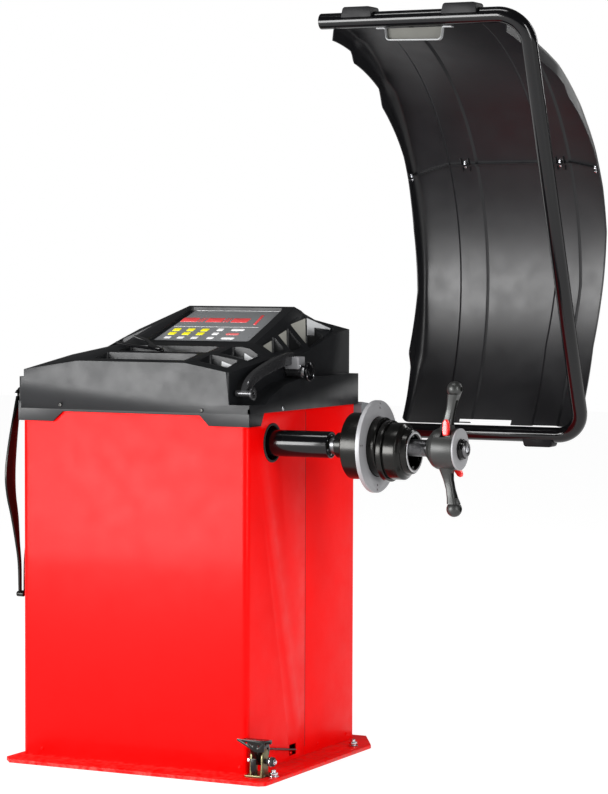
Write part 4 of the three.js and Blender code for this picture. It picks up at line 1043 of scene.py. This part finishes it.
def caliper_leg(side, x0):
    """One sickle-shaped leg of flat bar with a round tip and a hub round the peg."""
    outline = [*smooth_line(CALIPER_OUTER, 4), *smooth_line(CALIPER_INNER, 4)]
    bar = prism([(CALIPER_Y + side * y, CALIPER_Z + z) for y, z in outline], x0, x0 + 5)
    hub, bore = rod(x0, x0 + 5, 17, CALIPER_LINE, 40), rod(x0 - 2, x0 + 7, 6.6, CALIPER_LINE)
    leg = soften(boolean(boolean(bar, [hub], "UNION"), [bore]), 0.9, 2, 35)
    tip = rod(CALIPER_X - 9, CALIPER_X + 9, 6, (CALIPER_Y - side * 7.5, CALIPER_Z - 443), edge=1.6)
    return merged(leg, tip)


piece("caliper_front_blade", caliper_leg(1, CALIPER_X - 6), black_oxide, "caliper_front_leg")
piece("caliper_rear_blade", caliper_leg(-1, CALIPER_X + 1), black_oxide, "caliper_rear_leg")
peg = turned([(CALIPER_X - 14, 0), (CALIPER_X - 14, 11), (CALIPER_X - 8, 11), (CALIPER_X - 8, 6),
    (-COVER_X - 0.3, 6), (-COVER_X - 0.3, 0)], CALIPER_LINE, 40, False, [0, 2, 1, 0.6, 0.3, 0], 3)
piece("caliper_hook", peg, zinc, "caliper_peg")

# ---- pieces inside the cabinet keep their CAD shape ----
INNER = [
    (dark_steel, "power_unit support_pillar driven_pulley motor motor_pulley brake_arm gauge_guide"),
    (machined_steel, "vertical_sensor horizontal_sensor rear_bearing front_bearing encoder_disc"),
    (black_plastic, "phase_sensor gauge_slider"),
    (black_rubber, "drive_belt brake_cable"),
    (board_green, "control_board"),
    (grey_paint, "motor_bracket"),
]
for material, nodes in INNER:
    for node in nodes.split():
        frame["nodes"][node].material_slots[0].material = material


# ---- floor, light and camera ----
WHITE = (1, 1, 1, 1)
pale_floor, _, floor_shader = new_material("pale_floor")
for socket, value in (("Base Color", (0.28, 0.28, 0.28, 1)), ("Roughness", 0.9),
        ("Specular IOR Level", 0.05), ("Emission Color", WHITE), ("Emission Strength", 0.86)):
    floor_shader.inputs[socket].default_value = value

HALF = 14.0
floor_mesh = bpy.data.meshes.new("floor")
floor_mesh.from_pydata([(x, y, 0) for x, y in rectangle(-HALF, HALF, -HALF, HALF)], [], [(0, 1, 2, 3)])
floor_mesh.materials.append(pale_floor)
floor = placed("floor", floor_mesh)

scene.view_settings.view_transform = "Standard"
scene.view_settings.look = "None"
world = bpy.data.worlds.new("studio")
scene.world = world
world.use_nodes = True
tree = world.node_tree
tree.nodes.clear()
seen, lighting, mirrored = [add(tree, "Background", strength=strength, color=WHITE)
    for strength in (1.0, 0.42, 0.07)]
paths = add(tree, "LightPath")


def chosen_by(ray, plain, special):
    mix = add(tree, "MixShader")
    tree.links.new(paths.outputs[ray], mix.inputs[0])
    tree.links.new(plain, mix.inputs[1])
    tree.links.new(special, mix.inputs[2])
    return mix.outputs[0]


unseen = chosen_by("Is Glossy Ray", lighting.outputs[0], mirrored.outputs[0])
backdrop = chosen_by("Is Camera Ray", unseen, seen.outputs[0])
tree.links.new(backdrop, add(tree, "OutputWorld").inputs["Surface"])


def soft_light(name, place, target, width, height, watts):
    light = bpy.data.lights.new(name, "AREA")
    light.shape = "RECTANGLE"
    light.size, light.size_y, light.energy = width, height, watts
    lamp = placed(name, light)
    lamp.location = place
    lamp.rotation_mode = "QUATERNION"
    lamp.rotation_quaternion = (Vector(target) - Vector(place)).to_track_quat("-Z", "Y")


soft_light("key_light", (-1.9, -4.0, 1.15), (0.2, 0, 0.95), 2.9, 1.9, 330)
soft_light("side_light", (3.5, -1.7, 1.5), (0.3, 0.2, 1.0), 0.45, 2.2, 60)
soft_light("top_light", (0.2, -0.9, 3.8), (0.2, 0, 0.5), 1.6, 0.5, 30)
soft_light("edge_light", (2.2, 3.6, 2.6), (0.3, 0, 1.0), 0.3, 2.0, 24)

CAMERA_PLACE = (2.9986, -5.4500, 1.0919)
YAW, PITCH, ROLL = 0.4627, 0.0479, 0.0032
forward = Vector((-sin(YAW) * cos(PITCH), cos(YAW) * cos(PITCH), -sin(PITCH)))
level = Vector((cos(YAW), sin(YAW), 0))
upward = level.cross(forward)
right = level * cos(ROLL) + upward * sin(ROLL)
upright = -level * sin(ROLL) + upward * cos(ROLL)
camera_data = bpy.data.cameras.new("camera")
camera_data.lens = 126.16
camera_data.sensor_width = 36
turn = Matrix((right, upright, -forward)).transposed().to_4x4()
scene.camera = placed("camera", camera_data)
scene.camera.matrix_world = Matrix.Translation(CAMERA_PLACE) @ turn
